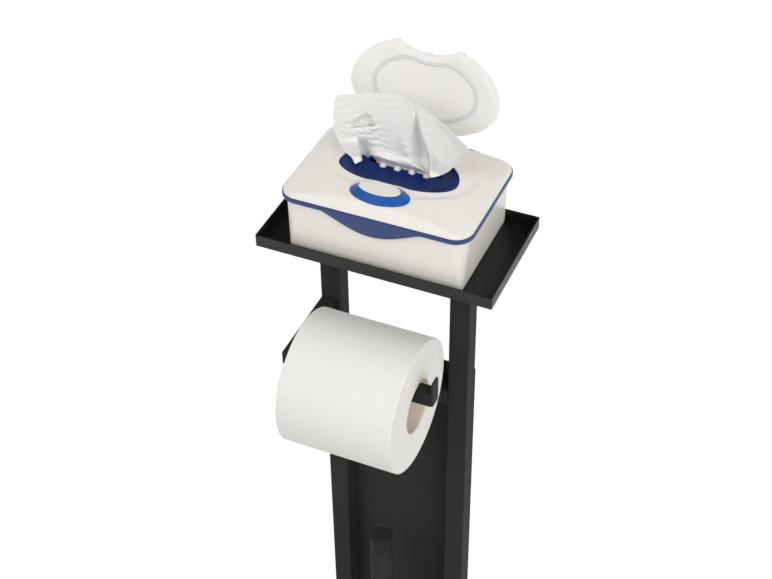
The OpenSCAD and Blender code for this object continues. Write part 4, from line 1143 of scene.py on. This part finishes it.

# %% [markdown]
# ## Finishes for the construction's own parts
# These parts keep the construction's shapes. A weld modifier joins their loose triangles, and a
# narrow bevel breaks the edges of many of them, because a bent or cut edge under powder is never
# sharp and catches a thin line of light. The spring under the button gets a mesh of its own but
# stays at rest; it is not shortened by the button's travel of 1.5 mm.

# %% Dress the construction
DRESS = {
    frame_coat: ["base_plate", "left_upright", "right_upright", "cross_tube", "back_panel",
                 "roll_arm", "arm_stop", "brush_cup", "cup_cover", "brush_handle"],
    tray_coat_painted_shade: ["tray"],
    zinc: ["upright_plugs", "base_screws", "lid_hinge_pins", "flap_pin", "button_spring"],
    blackened: ["panel_screws", "tray_screws", "arm_screw"],
    rubber: ["base_pads"],
    black_pp: ["cup_liner", "handle_cap", "brush_neck", "brush_core"],
    white_pp: ["button_bridge"],
}
EDGES = {"tray": 0.5, "roll_arm": 0.8, "arm_stop": 0.5, "base_plate": 0.8, "back_panel": 0.4,
         "brush_cup": 0.4, "cup_cover": 0.5, "cup_liner": 0.4, "brush_handle": 0.3,
         "handle_cap": 0.5, "base_pads": 0.4, "button_bridge": 0.3}
for material, names in DRESS.items():
    for name in names:
        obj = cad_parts[name]
        obj.data.materials.clear()
        obj.data.materials.append(material)
        joined = obj.modifiers.new("joined", "WELD")
        joined.merge_threshold = 0.000002
        if name in EDGES:
            soften(obj, EDGES[name], angle=30)
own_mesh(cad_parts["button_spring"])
print("dressed", sum(map(len, DRESS.values())), "construction parts")

# %% [markdown]
# ## Floor, world and lamps
# The stand is photographed on white. The floor is a wide pale disc that glows for the camera and
# in reflections, while a small part of it is still plain paint and so keeps the soft shadow. The
# world is an even dome of light. Shiny surfaces see a white backdrop all round, which fades out
# between 9 and 27 degrees above the horizon into a dim ceiling, because in the photo the tray's
# satin coat mirrors nothing bright from above. Three large soft lamps stand round the object:
# a key on the left, a fill on the right and a weak one behind, all hidden from reflections.

# %% Floor
def seen_directly(tree):
    """Two flags: one is set for rays straight from the camera or through glass, the other for
    those and for mirror rays."""
    path = add(tree, "ShaderNodeLightPath")
    straight = add(tree, "ShaderNodeMath", {0: path.outputs["Is Camera Ray"],
                                            1: path.outputs["Is Transmission Ray"]}, operation="MAXIMUM")
    every = add(tree, "ShaderNodeMath", {0: straight.outputs["Value"],
                                         1: path.outputs["Is Glossy Ray"]}, operation="MAXIMUM")
    return straight.outputs["Value"], every.outputs["Value"]


def white_floor():
    """For rays from the camera, a mirror or glass: mostly an even white; else pale paint."""
    material, tree, _ = finish("white_studio_floor")
    paint = add(tree, "ShaderNodeBsdfDiffuse", {"Color": linear("#c4c4c4")})
    glow = add(tree, "ShaderNodeEmission", {"Color": linear("#ffffff"), "Strength": 1.05})
    share = add(tree, "ShaderNodeMath", {0: seen_directly(tree)[1], 1: 0.93}, operation="MULTIPLY")
    both = add(tree, "ShaderNodeMixShader", {0: share.outputs["Value"], 1: paint.outputs["BSDF"],
                                             2: glow.outputs["Emission"]})
    add(tree, "ShaderNodeOutputMaterial", {"Surface": both.outputs["Shader"]})
    return material


FLOOR_R = 9
angles = round_angles(96)
disc = bpy.data.meshes.new("studio_floor")
disc.from_pydata(np.stack([FLOOR_R * np.cos(angles), FLOOR_R * np.sin(angles),
                           np.full(96, -0.0002)], -1).tolist(), [], [list(range(96))])
floor = put("studio_floor", disc)
disc.materials.append(white_floor())
print("floor is", 2 * FLOOR_R, "m across")

# %% World and lamps
world = bpy.data.worlds.new("studio")
bpy.context.scene.world = world
world.use_nodes = True
tree = world.node_tree
tree.nodes.clear()
straight, every = seen_directly(tree)
way = add(tree, "ShaderNodeTexCoord")
height = add(tree, "ShaderNodeSeparateXYZ", {"Vector": way.outputs["Generated"]})
wall = add(tree, "ShaderNodeMapRange", {"Value": height.outputs["Z"], "From Min": 0.15,
                                        "From Max": 0.45, "To Min": 1.0, "To Max": 0.03},
           interpolation_type="SMOOTHSTEP")
glow = add(tree, "ShaderNodeMath", {0: straight, 1: wall.outputs["Result"]}, operation="MAXIMUM")
soft = add(tree, "ShaderNodeBackground", {"Color": linear("#fffdfa"), "Strength": 0.56})
white = add(tree, "ShaderNodeBackground", {"Color": linear("#ffffff"),
                                           "Strength": glow.outputs["Value"]})
mixed = add(tree, "ShaderNodeMixShader", {0: every, 1: soft.outputs[0], 2: white.outputs[0]})
add(tree, "ShaderNodeOutputWorld", {"Surface": mixed.outputs[0]})


def lamp(name, at, towards, size, watts):
    """A square area lamp of size metres at a point, turned to face another point."""
    light = bpy.data.lights.new(name, "AREA")
    light.shape, light.size, light.energy = "SQUARE", size, watts
    obj = put(name, light)
    ahead = np.array(towards) - np.array(at)
    ahead = ahead / np.linalg.norm(ahead)
    beside = np.cross(ahead, [0, 0, 1.0])
    beside = beside / np.linalg.norm(beside)
    turn_to(obj, beside, np.cross(beside, ahead), -ahead, at)
    obj.visible_glossy = False


MIDDLE = (0, 0, 0.6)
lamp("key", (-1.0, -1.85, 2.35), MIDDLE, 1.4, 22)
lamp("fill", (1.8, -1.1, 1.75), MIDDLE, 1.6, 27)
lamp("back", (-0.7, 1.9, 1.5), MIDDLE, 1.2, 6)
